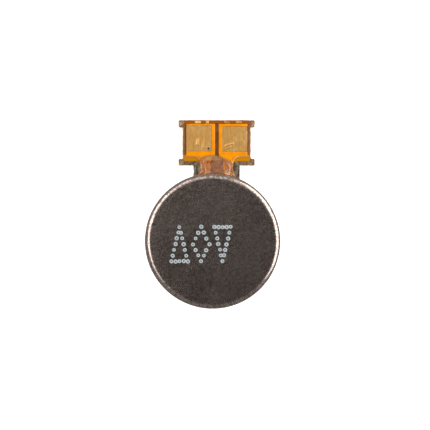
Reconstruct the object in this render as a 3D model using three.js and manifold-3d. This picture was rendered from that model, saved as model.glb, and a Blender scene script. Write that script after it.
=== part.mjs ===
// Coin vibration motor: a flat brushed motor whose rotor is weighted on one side, so that it shakes
// as it spins. The rotor turns on a fixed shaft inside a drawn steel case. Power comes in along a
// printed flex tail, bonded to a tongue of the base plate, that ends in two gold contact pads.
//
// Millimetres, +Z up. The origin is on the rotor's axis at the underside of the base plate,
// and +Y runs along the tail.

import * as THREE from "three";
import { mergeVertices } from "three/addons/utils/BufferGeometryUtils.js";
import Module from "manifold-3d";

const wasm = await Module();
wasm.setup();

// ---------------------------------------------------------------- driving dimensions

const GLUE_LINE = 0.005; // gap between bonded or touching pieces
const ROUND = 64; // sides of a large circle
const SMALL_ROUND = 32; // sides of a small one
const TINY_ROUND = 12; // sides of a solder joint

// Case and base
const CASE_RADIUS = 5;
const CASE_HEIGHT = 2.7; // from the underside of the base plate to the flat top
const SHEET = 0.2; // steel sheet of the case and the base plate
const CASE_CORNER = 0.42; // outside radius where the top turns into the wall
const BASE_RADIUS = CASE_RADIUS - 0.04;
const CASE_MOUTH = SHEET + GLUE_LINE;
const CASE_INSIDE_TOP = CASE_HEIGHT - SHEET;
const CABLE_NOTCH = { halfWidth: 1.5, top: 0.52 }; // in the case wall, over the tail

// Tongue of the base plate: a neck and a T-shaped head with an ear at each corner
const TAIL_CENTRE = 0.3; // the tongue stands this far to +X of the rotor's axis
const NECK_HALF = 1.73;
const HEAD_BOTTOM = 5.59;
const HEAD_TOP = 8.97;
const EAR_HALF = 2.84; // half-width over the ears
const WAIST_HALF = 2.54; // half-width between the ears
const LOWER_EAR_TOP = 6.1;
const UPPER_EAR_BOTTOM = 8.41;
const EAR_ROUNDING = 0.07;

// Flex circuit, from the tongue up: adhesive, base film, copper, cover film
const FLEX_CENTRE = 0.32;
const FLEX_DISC_RADIUS = 4.5; // the round end of the film, under the magnet
const FLEX_HOLE_RADIUS = 0.95;
const FLEX_NECK_HALF = 1.2;
const FILM_HEAD = { half: 2.47, bottom: 5.9, top: 8.94, fillet: 0.3 };
const COVER_HEAD = { half: 2.37, bottom: 6.25, top: 8.75, fillet: 0.5 }; // it bares the base film's edges
const ADHESIVE = 0.04;
const BASE_FILM = 0.04;
const COPPER = 0.02;
const COVER_FILM = 0.025;
const GOLD = 0.015;

// Copper islands and the openings over them in the cover film
const ISLAND_BOTTOM = 6.29;
const ISLAND_TOP = 8.68;
const ISLAND_INNER = 0.134; // from the flex centreline to an island's inner edge
const ISLAND_OUTER = 2.27; // and to its outer edge
const TRACE_OUTER = 1.12; // and to the outer edge of its trace along the neck
const LEFT_PAD = { x0: -1.94, x1: -0.08, y0: 6.66, y1: 8.57 };
const RIGHT_PAD = { x0: 0.72, x1: 2.58, y0: 6.6, y1: 8.47 };
const TIE_BARS = [
  { x: -1.08, width: 0.45 },
  { x: -0.39, width: 0.22 },
  { x: 1.07, width: 0.42 },
  { x: 1.94, width: 0.44 },
]; // stubs of the plating bars that ran off the top edge
const LAND = { x: 1.26, halfWidth: 0.34, y0: -1.7, y1: -0.85 }; // where each brush is soldered
const PINHOLE = { x: -0.31, y: 6.85, radius: 0.05 }; // probe hole in the left pad

// Shaft, bearing and washers
const SHAFT_RADIUS = 0.4;
const SHAFT_TOP = 2.47;
const COLLAR_RADIUS = 0.72; // the base plate's collar round the shaft
const COLLAR_TOP = 0.62;
const BEARING = { bore: 0.42, radius: 0.85, bottom: 0.76, top: 2.3 };
const WASHER = { bore: 0.42, radius: 0.78, thickness: 0.1 };
const AXIAL_PLAY = 0.02;

// Magnet
const MAGNET = { inner: 2.3, outer: 4.45, thickness: 0.75 };

// Rotor: a half-round board and mould round a full hub, its weighted half towards -Y at rest
const ROTOR_HEADING = -90; // degrees, where the weighted half points
const BOARD = { radius: 4.4, hub: 1.95, halfAngle: 92, bottom: 1.3, top: 1.5 };
const MOULD = { radius: 4.5, hub: 1.36, halfAngle: 93, floor: 0.1, top: 2.22 };
const COIL = { radius: 1.45, core: 0.45, orbit: 2.88, angle: 50, top: 2.2 };
const WEIGHT = { inner: 1.55, outer: 4.35, halfAngle: 38, wall: 0.15, top: 2.24 };
const SEGMENTS = 6;
const SEGMENT = { inner: 0.98, outer: 1.85, gap: 7, thickness: 0.035 }; // gap in degrees
const LEAD_SOLDER = { radius: 0.17, height: 0.12, orbit: 1.66, angles: [24, 68, 112, 156] };

// Brushes: forked leaf springs, given by the side view of the right one in (y, z)
const BRUSH = { thickness: 0.06, x0: 1.01, x1: 1.51, slot: 0.1, slotFrom: 0.1 };
const BRUSH_SOLDER = { radius: 0.23, height: 0.12, y: -1.36 };

// Bead of resin that seals the tail to the case
const SEAL = { x: 0.32, y: 5.0, halfWidth: 1.9, reach: 1.65, height: 0.8 }; // its dome
const SEAL_CORNERS = [
  [-1.15, 4.5],
  [-0.9, 5.3],
  [-0.96, 6.34],
  [0.35, 6.44],
  [1.58, 5.95],
  [1.54, 5.2],
  [1.72, 4.5],
];
const SEAL_ROUNDING = 0.32;

// Openings in the base plate under the magnet
const DETENT_SLOT = { orbit: 3.35, halfWidth: 0.18, halfAngle: 13, angles: [210, 330] };
const PILOT_HOLE = { radius: 0.28, orbit: 3.35, angles: [150, 30] };

// ---------------------------------------------------------------- solids and outlines

const rad = THREE.MathUtils.degToRad;

function polar(radius, degrees) {
  return new THREE.Vector2(radius * Math.cos(rad(degrees)), radius * Math.sin(rad(degrees)));
}

// A closed geometry as a solid that can be joined and cut.
function solidOf(geometry) {
  const plain = new THREE.BufferGeometry();
  plain.setAttribute("position", geometry.getAttribute("position").clone());
  if (geometry.index) plain.setIndex(geometry.index.clone());
  const merged = mergeVertices(plain, 1e-4);
  const triVerts = [];
  for (let i = 0; i < merged.index.count; i += 3) {
    const [a, b, c] = [0, 1, 2].map((k) => merged.index.getX(i + k));
    if (a !== b && b !== c && a !== c) triVerts.push(a, b, c);
  }
  const vertProperties = merged.attributes.position.array;
  const mesh = { numProp: 3, vertProperties, triVerts: new Uint32Array(triVerts) };
  return new wasm.Manifold(new wasm.Mesh(mesh));
}

function geometryOf(solid) {
  const mesh = solid.getMesh();
  const geometry = new THREE.BufferGeometry();
  geometry.setAttribute("position", new THREE.BufferAttribute(mesh.vertProperties, mesh.numProp));
  geometry.setIndex(new THREE.BufferAttribute(mesh.triVerts, 1));
  geometry.computeVertexNormals();
  return geometry;
}

const join = (...pieces) => geometryOf(pieces.map(solidOf).reduce((a, b) => a.add(b)));
const cut = (piece, ...tools) =>
  geometryOf(tools.map(solidOf).reduce((a, b) => a.subtract(b), solidOf(piece)));
const overlap = (a, b) => geometryOf(solidOf(a).intersect(solidOf(b)));

// A flat plate of a THREE.Shape, from one height to another.
function plate(shape, bottom, top, curveSegments = 8) {
  const settings = { depth: top - bottom, bevelEnabled: false, curveSegments };
  return new THREE.ExtrudeGeometry(shape, settings).translate(0, 0, bottom);
}

// A polygon whose corners are rounded.
function rounded(corners, radius) {
  const shape = new THREE.Shape();
  corners.forEach(([x, y], i) => {
    const corner = new THREE.Vector2(x, y);
    const before = new THREE.Vector2(...corners.at(i - 1));
    const after = new THREE.Vector2(...corners[(i + 1) % corners.length]);
    const into = corner.clone().add(before.sub(corner).setLength(radius));
    const out = corner.clone().add(after.sub(corner).setLength(radius));
    if (i === 0) shape.moveTo(into.x, into.y);
    else shape.lineTo(into.x, into.y);
    shape.quadraticCurveTo(corner.x, corner.y, out.x, out.y);
  });
  shape.closePath();
  return shape;
}

const rectangle = (x0, x1, y0, y1) => [
  [x0, y0],
  [x1, y0],
  [x1, y1],
  [x0, y1],
];

// A body turned about the Z axis from a profile of [radius, height] points.
function turned(profile, sides = ROUND) {
  const points = profile.map(([r, z]) => new THREE.Vector2(r, z));
  return new THREE.LatheGeometry(points, sides).rotateX(Math.PI / 2);
}

const disc = (radius, bottom, top, sides = ROUND) =>
  turned(
    [
      [0, bottom],
      [radius, bottom],
      [radius, top],
      [0, top],
    ],
    sides,
  );

const ring = (inner, outer, bottom, top, sides = ROUND) =>
  turned(
    [
      [inner, bottom],
      [outer, bottom],
      [outer, top],
      [inner, top],
      [inner, bottom],
    ],
    sides,
  );

// A ring's slice between two angles, in degrees.
function slice(inner, outer, from, to, bottom, top, curveSegments = 12) {
  const shape = new THREE.Shape();
  shape.absarc(0, 0, outer, rad(from), rad(to), false);
  shape.absarc(0, 0, inner, rad(to), rad(from), true);
  shape.closePath();
  return plate(shape, bottom, top, curveSegments);
}

// A drop of solder: half an ellipsoid of revolution, flat side down.
function dome(radius, height, x, y, bottom) {
  const steps = 3;
  const profile = [[0, 0]];
  for (let i = 0; i < steps; i++) {
    const a = (i * Math.PI) / (2 * steps);
    profile.push([radius * Math.cos(a), height * Math.sin(a)]);
  }
  profile.push([0, height]);
  return turned(profile, TINY_ROUND).translate(x, y, bottom);
}

const group = new THREE.Group();

function add(name, geometry, colour, metalness, roughness) {
  const material = new THREE.MeshStandardMaterial({ color: colour, metalness, roughness });
  const mesh = new THREE.Mesh(geometry, material);
  mesh.name = name;
  group.add(mesh);
}

// ---------------------------------------------------------------- heights of the bonded layers

const adhesiveBottom = SHEET + GLUE_LINE;
const baseFilmBottom = adhesiveBottom + ADHESIVE + GLUE_LINE;
const copperBottom = baseFilmBottom + BASE_FILM + GLUE_LINE;
const copperTop = copperBottom + COPPER;
const coverBottom = copperTop + GLUE_LINE;
const coverTop = coverBottom + COVER_FILM;
const magnetBottom = coverTop + GLUE_LINE;

// ---------------------------------------------------------------- case and base plate

function caseCup() {
  const corner = (radius, from, to, steps) => {
    const points = [];
    for (let i = 0; i <= steps; i++) {
      const at = polar(radius, from + ((to - from) * i) / steps);
      points.push([CASE_RADIUS - CASE_CORNER + at.x, CASE_HEIGHT - CASE_CORNER + at.y]);
    }
    return points;
  };
  const cup = turned([
    [0, CASE_INSIDE_TOP],
    ...corner(CASE_CORNER - SHEET, 90, 0, 3),
    [CASE_RADIUS - SHEET, CASE_MOUTH],
    [CASE_RADIUS, CASE_MOUTH],
    ...corner(CASE_CORNER, 0, 90, 6),
    [0, CASE_HEIGHT],
  ]);
  const { halfWidth, top } = CABLE_NOTCH;
  const notch = rectangle(TAIL_CENTRE - halfWidth, TAIL_CENTRE + halfWidth, 4, CASE_RADIUS + 1);
  return cut(cup, plate(rounded(notch, 0.1), 0, top));
}

function tongueOutline() {
  const half = [
    [NECK_HALF, 4.2],
    [NECK_HALF, HEAD_BOTTOM],
    [EAR_HALF, HEAD_BOTTOM],
    [EAR_HALF, LOWER_EAR_TOP],
    [WAIST_HALF, LOWER_EAR_TOP],
    [WAIST_HALF, UPPER_EAR_BOTTOM],
    [EAR_HALF, UPPER_EAR_BOTTOM],
    [EAR_HALF, HEAD_TOP],
  ];
  const right = half.map(([x, y]) => [TAIL_CENTRE + x, y]);
  const left = half.map(([x, y]) => [TAIL_CENTRE - x, y]).reverse();
  return rounded([...right, ...left], EAR_ROUNDING);
}

function basePlate() {
  const tongue = plate(tongueOutline(), 0, SHEET, 3);
  const collar = turned(
    [
      [0, 0],
      [COLLAR_RADIUS + 0.15, 0],
      [COLLAR_RADIUS + 0.15, SHEET],
      [COLLAR_RADIUS, SHEET + 0.06],
      [COLLAR_RADIUS, COLLAR_TOP],
      [0, COLLAR_TOP],
    ],
    SMALL_ROUND,
  );
  const shaftHole = disc(SHAFT_RADIUS + GLUE_LINE, -1, 1, SMALL_ROUND);
  const slots = DETENT_SLOT.angles.map((a) => {
    const { orbit, halfWidth, halfAngle } = DETENT_SLOT;
    return slice(orbit - halfWidth, orbit + halfWidth, a - halfAngle, a + halfAngle, -1, 1);
  });
  const pilots = PILOT_HOLE.angles.map((a) => {
    const at = polar(PILOT_HOLE.orbit, a);
    return disc(PILOT_HOLE.radius, -1, 1, 20).translate(at.x, at.y, 0);
  });
  return cut(join(disc(BASE_RADIUS, 0, SHEET), tongue, collar), shaftHole, ...slots, ...pilots);
}

add("case_cup", caseCup(), 0x5f5650, 0.9, 0.42);
add("base_plate", basePlate(), 0x8d847c, 0.9, 0.35);

// ---------------------------------------------------------------- flex circuit

// The whole outline of a film: a disc under the magnet, a neck and the contact head.
function flexLayer(bottom, top, head, inset = 0) {
  const neck = FLEX_NECK_HALF - inset;
  const side = head.half - inset;
  const low = head.bottom + inset;
  const half = [
    [neck, 3],
    [neck, low - head.fillet],
    [neck + head.fillet, low],
    [side - 0.1, low],
    [side, low + 0.1],
    [side, head.top - inset],
  ];
  const right = half.map(([x, y]) => [FLEX_CENTRE + x, y]);
  const left = half.map(([x, y]) => [FLEX_CENTRE - x, y]).reverse();
  const tail = plate(rounded([...right, ...left], 0.05), bottom, top, 2);
  const round = disc(FLEX_DISC_RADIUS - inset, bottom, top);
  return cut(join(round, tail), disc(FLEX_HOLE_RADIUS + inset, bottom - 1, top + 1, SMALL_ROUND));
}

// One side's copper, from its contact island down the neck to the land of its brush.
// side is -1 for the left one and +1 for the right.
function copper(side) {
  const inner = FLEX_CENTRE + side * ISLAND_INNER;
  const outer = FLEX_CENTRE + side * ISLAND_OUTER;
  const neckEdge = FLEX_CENTRE + side * TRACE_OUTER;
  const landInner = side * (LAND.x - LAND.halfWidth);
  const landOuter = side * (LAND.x + LAND.halfWidth);
  const corners = [
    [inner, ISLAND_TOP],
    [inner, 3.4],
    [landInner, 2.2],
    [landInner, LAND.y0],
    [landOuter, LAND.y0],
    [landOuter, 2.4],
    [neckEdge, 3.6],
    [neckEdge, 5.95],
    [neckEdge + side * 0.32, ISLAND_BOTTOM],
    [outer - side * 0.1, ISLAND_BOTTOM],
    [outer, ISLAND_BOTTOM + 0.1],
    [outer, ISLAND_TOP],
  ];
  const trace = plate(rounded(corners, 0.04), copperBottom, copperTop, 2);
  const bars = TIE_BARS.filter((bar) => (bar.x - FLEX_CENTRE) * side > 0).map((bar) => {
    const [x0, x1] = [bar.x - bar.width / 2, bar.x + bar.width / 2];
    const outline = rectangle(x0, x1, ISLAND_TOP - 0.2, FILM_HEAD.top - 0.02);
    return plate(rounded(outline, 0.02), copperBottom, copperTop, 1);
  });
  return join(trace, ...bars);
}

const padOutline = ({ x0, x1, y0, y1 }, grow) =>
  rounded(rectangle(x0 - grow, x1 + grow, y0 - grow, y1 + grow), 0.06);

function coverFilm() {
  const openings = [LEFT_PAD, RIGHT_PAD].map((pad) =>
    plate(padOutline(pad, GLUE_LINE), coverBottom - 1, coverTop + 1, 3),
  );
  const lands = [-1, 1].map((side) => {
    const [x0, x1] = [side * LAND.x - LAND.halfWidth, side * LAND.x + LAND.halfWidth];
    const outline = rectangle(x0 - 0.05, x1 + 0.05, LAND.y0 - 0.05, LAND.y1);
    return plate(rounded(outline, 0.06), coverBottom - 1, coverTop + 1, 2);
  });
  const sheet = flexLayer(coverBottom, coverTop, COVER_HEAD, 0.01);
  return cut(sheet, ...openings, ...lands);
}

function contactPad(pad, pinhole) {
  const bottom = copperTop + GLUE_LINE;
  const gold = plate(padOutline(pad, 0), bottom, bottom + GOLD, 3);
  if (!pinhole) return gold;
  return cut(gold, disc(pinhole.radius, 0, 1, 16).translate(pinhole.x, pinhole.y, 0));
}

const adhesive = flexLayer(adhesiveBottom, adhesiveBottom + ADHESIVE, FILM_HEAD, 0.03);
const baseFilm = flexLayer(baseFilmBottom, baseFilmBottom + BASE_FILM, FILM_HEAD);
add("flex_adhesive", adhesive, 0x4a3324, 0, 0.7);
add("flex_base_film", baseFilm, 0xc4861b, 0, 0.35);
add("flex_copper_left", copper(-1), 0xc77b3a, 1, 0.35);
add("flex_copper_right", copper(1), 0xc77b3a, 1, 0.35);
add("flex_cover_film", coverFilm(), 0xf39e07, 0, 0.25);
add("contact_pad_left", contactPad(LEFT_PAD, PINHOLE), 0xc49553, 1, 0.4);
add("contact_pad_right", contactPad(RIGHT_PAD), 0xc49553, 1, 0.4);

// ---------------------------------------------------------------- seal

// A domed bead on the flex neck, lying against the case wall.
function sealBead() {
  const bottom = coverTop + GLUE_LINE;
  const cap = new THREE.SphereGeometry(1, 32, 14)
    .rotateX(Math.PI / 2)
    .scale(SEAL.halfWidth, SEAL.reach, SEAL.height)
    .translate(SEAL.x, SEAL.y, bottom);
  const footprint = plate(rounded(SEAL_CORNERS, SEAL_ROUNDING), bottom, 2, 5);
  const wall = disc(CASE_RADIUS + GLUE_LINE, -1, 4);
  return cut(overlap(cap, footprint), wall);
}

add("tail_seal", sealBead(), 0x9c6a46, 0, 0.12);

// ---------------------------------------------------------------- magnet, shaft and washers

function shaft() {
  const chamfer = 0.05;
  return turned(
    [
      [0, 0],
      [SHAFT_RADIUS, 0],
      [SHAFT_RADIUS, SHAFT_TOP - chamfer],
      [SHAFT_RADIUS - chamfer, SHAFT_TOP],
      [0, SHAFT_TOP],
    ],
    SMALL_ROUND,
  );
}

function washer(bottom) {
  return ring(WASHER.bore, WASHER.radius, bottom, bottom + WASHER.thickness, SMALL_ROUND);
}

function magnet() {
  const chamfer = 0.06;
  const { inner, outer, thickness } = MAGNET;
  const top = magnetBottom + thickness;
  return turned([
    [inner, magnetBottom],
    [outer, magnetBottom],
    [outer, top - chamfer],
    [outer - chamfer, top],
    [inner + chamfer, top],
    [inner, top - chamfer],
    [inner, magnetBottom],
  ]);
}

add("ring_magnet", magnet(), 0x75777c, 0.9, 0.3);
add("shaft", shaft(), 0xc9ccd0, 1, 0.15);
add("lower_washer", washer(COLLAR_TOP + AXIAL_PLAY), 0x222222, 0, 0.5);
add("upper_washer", washer(BEARING.top + AXIAL_PLAY), 0x222222, 0, 0.5);

// ---------------------------------------------------------------- brushes

// A bent strip of sheet: its outline in side view, from its middle line.
function strip(line, thickness) {
  const points = line.map(([y, z]) => new THREE.Vector2(y, z));
  const side = (sign) =>
    points.map((p, i) => {
      const along = points[Math.min(i + 1, points.length - 1)]
        .clone()
        .sub(points[Math.max(i - 1, 0)])
        .normalize();
      const across = new THREE.Vector2(-along.y, along.x).multiplyScalar((sign * thickness) / 2);
      return p.clone().add(across);
    });
  return new THREE.Shape([...side(-1), ...side(1).reverse()]);
}

function brush(side) {
  const foot = copperTop + GLUE_LINE + BRUSH.thickness / 2;
  const contact = BOARD.bottom - GLUE_LINE - SEGMENT.thickness - AXIAL_PLAY - BRUSH.thickness / 2;
  const line = [
    [-1.62, foot],
    [-0.98, foot],
    [-0.84, foot + 0.03],
    [0.72, contact - 0.04],
    [0.9, contact],
    [1.0, contact],
    [1.16, contact - 0.08],
  ];
  const width = BRUSH.x1 - BRUSH.x0;
  const settings = { depth: width, bevelEnabled: false };
  const axes = [new THREE.Vector3(0, 1, 0), new THREE.Vector3(0, 0, 1), new THREE.Vector3(1, 0, 0)];
  const toSide = new THREE.Matrix4().makeBasis(...axes);
  const x0 = side > 0 ? BRUSH.x0 : -BRUSH.x1;
  const leaf = new THREE.ExtrudeGeometry(strip(line, BRUSH.thickness), settings)
    .applyMatrix4(toSide)
    .translate(x0, 0, 0);
  const middle = x0 + width / 2;
  const fork = rectangle(middle - BRUSH.slot / 2, middle + BRUSH.slot / 2, BRUSH.slotFrom, 2);
  return cut(leaf, plate(rounded(fork, 0.04), 0, 2, 3));
}

function brushSolder(side) {
  const bottom = copperTop + BRUSH.thickness + 2 * GLUE_LINE;
  const { radius, height, y } = BRUSH_SOLDER;
  return dome(radius, height, (side * (BRUSH.x0 + BRUSH.x1)) / 2, y, bottom);
}

for (const [name, side] of [
  ["left", -1],
  ["right", 1],
]) {
  add(`brush_${name}`, brush(side), 0xd9b36a, 1, 0.25);
  add(`brush_solder_${name}`, brushSolder(side), 0xb9bcc0, 1, 0.3);
}

// ---------------------------------------------------------------- rotor

// A full round hub with a half-round fan, both about the rotor's axis.
function fan({ radius, hub, halfAngle }, bottom, top) {
  const [from, to] = [ROTOR_HEADING - halfAngle, ROTOR_HEADING + halfAngle];
  const shape = new THREE.Shape();
  shape.absarc(0, 0, radius, rad(from), rad(to), false);
  shape.absarc(0, 0, hub, rad(to), rad(from + 360), false);
  shape.closePath();
  return plate(shape, bottom, top, 32);
}

const bearingHole = () => disc(BEARING.radius + GLUE_LINE, 0, 4, SMALL_ROUND);
const mouldFloor = BOARD.top + GLUE_LINE + MOULD.floor;
const coilCentres = [-1, 1].map((side) => polar(COIL.orbit, ROTOR_HEADING + side * COIL.angle));

// The weight fills the space between the coils. grow makes the larger pocket that it sits in.
function weightBody(grow, bottom, top) {
  const { inner, outer, halfAngle, wall } = WEIGHT;
  const reach = halfAngle + THREE.MathUtils.radToDeg(grow / inner);
  const [from, to] = [ROTOR_HEADING - reach, ROTOR_HEADING + reach];
  const body = slice(inner - grow, outer + grow, from, to, bottom, top, 16);
  const clear = COIL.radius + wall - grow;
  const tools = coilCentres.map((c) => disc(clear, 0, 4, SMALL_ROUND).translate(c.x, c.y, 0));
  return cut(body, ...tools);
}

function rotorMould() {
  const body = fan(MOULD, BOARD.top + GLUE_LINE, MOULD.top);
  const pockets = coilCentres.map((c) =>
    ring(COIL.core - GLUE_LINE, COIL.radius + GLUE_LINE, mouldFloor, 4, SMALL_ROUND).translate(
      c.x,
      c.y,
      0,
    ),
  );
  return cut(body, ...pockets, weightBody(GLUE_LINE, mouldFloor, 4), bearingHole());
}

function coil(centre) {
  const body = ring(COIL.core, COIL.radius, mouldFloor + GLUE_LINE, COIL.top, SMALL_ROUND);
  return body.translate(centre.x, centre.y, 0);
}

function bearing() {
  const { bore, radius, bottom, top } = BEARING;
  return ring(bore, radius, bottom, top, SMALL_ROUND);
}

add("rotor_board", cut(fan(BOARD, BOARD.bottom, BOARD.top), bearingHole()), 0x2f5a35, 0, 0.5);
add("rotor_mould", rotorMould(), 0x26262a, 0, 0.5);
add("coil_left", coil(coilCentres[0]), 0xb5622d, 0.8, 0.35);
add("coil_right", coil(coilCentres[1]), 0xb5622d, 0.8, 0.35);
add("counterweight", weightBody(0, mouldFloor + GLUE_LINE, WEIGHT.top), 0x6f6f73, 1, 0.45);
add("bearing", bearing(), 0xa8763c, 1, 0.4);

for (let i = 0; i < SEGMENTS; i++) {
  const pitch = 360 / SEGMENTS;
  const from = i * pitch + SEGMENT.gap / 2;
  const to = (i + 1) * pitch - SEGMENT.gap / 2;
  const top = BOARD.bottom - GLUE_LINE;
  const bar = slice(SEGMENT.inner, SEGMENT.outer, from, to, top - SEGMENT.thickness, top, 8);
  add(`commutator_segment_${i + 1}`, bar, 0xe0b95c, 1, 0.2);
}

LEAD_SOLDER.angles.forEach((angle, i) => {
  const at = polar(LEAD_SOLDER.orbit, angle);
  const { radius, height } = LEAD_SOLDER;
  const joint = dome(radius, height, at.x, at.y, BOARD.top + GLUE_LINE);
  add(`coil_solder_${i + 1}`, joint, 0xb9bcc0, 1, 0.3);
});

export default group;
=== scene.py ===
"""Looks of a vibration coin motor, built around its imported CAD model.

Metres, +Z up. The rotor's axis is the Z axis, the base plate's underside is at z = 0,
and the flex tail runs along +Y.
"""

import math
import random

import bpy
from mathutils import Matrix, Quaternion, Vector, geometry, noise


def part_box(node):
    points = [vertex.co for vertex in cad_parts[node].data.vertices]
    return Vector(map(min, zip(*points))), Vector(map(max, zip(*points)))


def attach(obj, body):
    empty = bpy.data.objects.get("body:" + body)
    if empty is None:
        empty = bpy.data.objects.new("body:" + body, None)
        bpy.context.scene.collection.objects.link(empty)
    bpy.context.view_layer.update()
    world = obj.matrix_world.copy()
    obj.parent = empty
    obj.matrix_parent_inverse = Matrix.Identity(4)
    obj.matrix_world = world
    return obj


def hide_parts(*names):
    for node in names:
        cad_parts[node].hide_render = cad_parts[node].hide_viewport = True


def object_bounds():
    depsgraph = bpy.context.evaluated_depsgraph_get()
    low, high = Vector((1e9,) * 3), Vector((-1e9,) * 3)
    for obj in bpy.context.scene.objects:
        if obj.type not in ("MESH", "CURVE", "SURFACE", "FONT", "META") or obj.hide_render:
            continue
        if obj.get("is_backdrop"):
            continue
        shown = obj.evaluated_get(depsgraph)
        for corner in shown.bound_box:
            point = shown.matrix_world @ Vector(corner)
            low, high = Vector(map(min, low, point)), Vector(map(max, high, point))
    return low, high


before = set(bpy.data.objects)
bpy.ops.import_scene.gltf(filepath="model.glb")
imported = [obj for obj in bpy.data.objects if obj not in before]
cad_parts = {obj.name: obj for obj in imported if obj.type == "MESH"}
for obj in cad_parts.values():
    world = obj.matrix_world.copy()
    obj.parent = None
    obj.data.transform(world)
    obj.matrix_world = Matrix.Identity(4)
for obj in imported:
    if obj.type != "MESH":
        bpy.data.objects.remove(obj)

MM = 0.001
TO_MM = 1000.0
cad_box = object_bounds()

# ---------------------------------------------------------------- sizes, from the frame and the design

CASE_LOW, CASE_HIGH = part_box("case_cup")
CASE_RADIUS = CASE_HIGH.x
CASE_TOP = CASE_HIGH.z
CASE_MOUTH = CASE_LOW.z
SHEET = 0.2 * MM  # steel of the case and the base plate
CASE_CORNER = 0.43 * MM  # outside radius of the rim
CROWN = 0.05 * MM  # how far the flat top falls towards the rim
BASE_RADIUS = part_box("base_plate")[1].x
TAIL_X = 0.3 * MM  # middle of the tongue
NECK_HALF = 1.73 * MM
EAR_HALF = 2.84 * MM
WAIST_HALF = 2.54 * MM
HEAD_BOTTOM = 5.59 * MM
LOWER_EAR_TOP = 6.1 * MM
UPPER_EAR_BOTTOM = 8.41 * MM
HEAD_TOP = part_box("base_plate")[1].y
FLEX_X = 0.32 * MM  # middle of the flex circuit

ADHESIVE_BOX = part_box("flex_adhesive")
BASE_FILM_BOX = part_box("flex_base_film")
COPPER_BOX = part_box("flex_copper_left")
COVER_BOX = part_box("flex_cover_film")
PAD_BOXES = {side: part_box(f"contact_pad_{side}") for side in ("left", "right")}
SEAL_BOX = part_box("tail_seal")
BEARING_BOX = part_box("bearing")
SHAFT_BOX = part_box("shaft")
BOARD_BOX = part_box("rotor_board")
MOULD_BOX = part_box("rotor_mould")
WEIGHT_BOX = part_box("counterweight")

ROUND = 192  # sides of a large circle
draws = random.Random(11)

# ---------------------------------------------------------------- outlines


def polar(radius, degrees, centre=(0, 0)):
    a = math.radians(degrees)
    return Vector((centre[0] + radius * math.cos(a), centre[1] + radius * math.sin(a)))


def arc(radius, start, end, steps, centre=(0, 0)):
    """Points on an arc, both ends included, between two angles in degrees."""
    return [polar(radius, start + (end - start) * i / steps, centre) for i in range(steps + 1)]


def circle(radius, centre=(0, 0), sides=ROUND, clockwise=False):
    return arc(radius, 0, -360 if clockwise else 360, sides, centre)[:-1]


def rounded(corners, radius, steps=5):
    """A closed outline through corners, rounded off by the radius or by a corner's own third value."""
    radii = [c[2] if len(c) > 2 else radius for c in corners]
    corners = [Vector(c[:2]) for c in corners]
    outline = []
    for i, corner in enumerate(corners):
        before = corners[i - 1] - corner
        after = corners[(i + 1) % len(corners)] - corner
        reach = min(radii[i], 0.48 * before.length, 0.48 * after.length)
        start = corner + before.normalized() * reach
        end = corner + after.normalized() * reach
        for k in range(steps + 1):
            t = k / steps
            outline.append(start * (1 - t) ** 2 + corner * 2 * t * (1 - t) + end * t**2)
    return outline


def rectangle(x0, x1, y0, y1):
    return [(x0, y0), (x1, y0), (x1, y1), (x0, y1)]


def divided(loop, longest):
    """The loop with its long edges divided, so that they can be worked one by one."""
    out = []
    for i, here in enumerate(loop):
        after = loop[(i + 1) % len(loop)]
        parts = max(1, math.ceil((after - here).length / longest))
        out.extend(here.lerp(after, k / parts) for k in range(parts))
    return out


def uncrowded(loop, shortest=0.012 * MM):
    """The loop without points that crowd their neighbours."""
    out = []
    for p in loop:
        if not out or (p - out[-1]).length > shortest:
            out.append(p)
    return out


def anticlockwise(loop):
    area = sum(a.cross(b) for a, b in zip(loop, loop[1:] + loop[:1]))
    return loop if area > 0 else loop[::-1]


def inset(loop, distance):
    """Moves a loop's points to their left: inwards where the loop runs anticlockwise."""
    out = []
    for i, here in enumerate(loop):
        before = (here - loop[i - 1]).normalized()
        after = (loop[(i + 1) % len(loop)] - here).normalized()
        normal = Vector((-before.y - after.y, before.x + after.x)).normalized()
        along = max(0.4, normal.dot(Vector((-after.y, after.x))))
        out.append(here + normal * (distance / along))
    return out


def smooth_curve(points, steps):
    """A Catmull-Rom curve through the points."""
    points = [Vector(p) for p in points]
    last = len(points) - 1
    out = []
    for i in range(last):
        a, b, c, d = (points[min(max(n, 0), last)] for n in range(i - 1, i + 3))
        for k in range(steps):
            t = k / steps
            bend = (c - a) * t + (a * 2 - b * 5 + c * 4 - d) * t**2 + (b * 3 - a - c * 3 + d) * t**3
            out.append(b + bend * 0.5)
    return [*out, points[-1]]


# ---------------------------------------------------------------- meshes: a part is (vertices, faces)


def mesh_object(name, vertices, faces):
    mesh = bpy.data.meshes.new(name)
    mesh.from_pydata([tuple(v) for v in vertices], [], faces)
    level = 0.99999  # faces as level as this are flat sheets, which shade best as facets
    mesh.polygons.foreach_set("use_smooth", [abs(p.normal.z) < level for p in mesh.polygons])
    mesh.update()
    piece = bpy.data.objects.new(name, mesh)
    bpy.context.scene.collection.objects.link(piece)
    return piece


def joined(name, parts):
    """One object from several parts."""
    vertices, faces = [], []
    for part_vertices, part_faces in parts:
        start = len(vertices)
        vertices.extend(part_vertices)
        faces.extend([start + i for i in face] for face in part_faces)
    return mesh_object(name, vertices, faces)


def even_shading(piece):
    """Lets the large flat faces set the normals, so that small roundings shade cleanly."""
    shade = piece.modifiers.new("Even shading", "WEIGHTED_NORMAL")
    shade.keep_sharp = True
    return piece


def shaded(name, *parts):
    return even_shading(joined(name, parts))


def band(low, high, count, flip=False):
    """Quads between two rings of count points, given by the numbers of their first points."""
    quads = []
    for i in range(count):
        after = (i + 1) % count
        quad = [low + i, low + after, high + after, high + i]
        quads.append([quad[0], *quad[:0:-1]] if flip else quad)
    return quads


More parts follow.
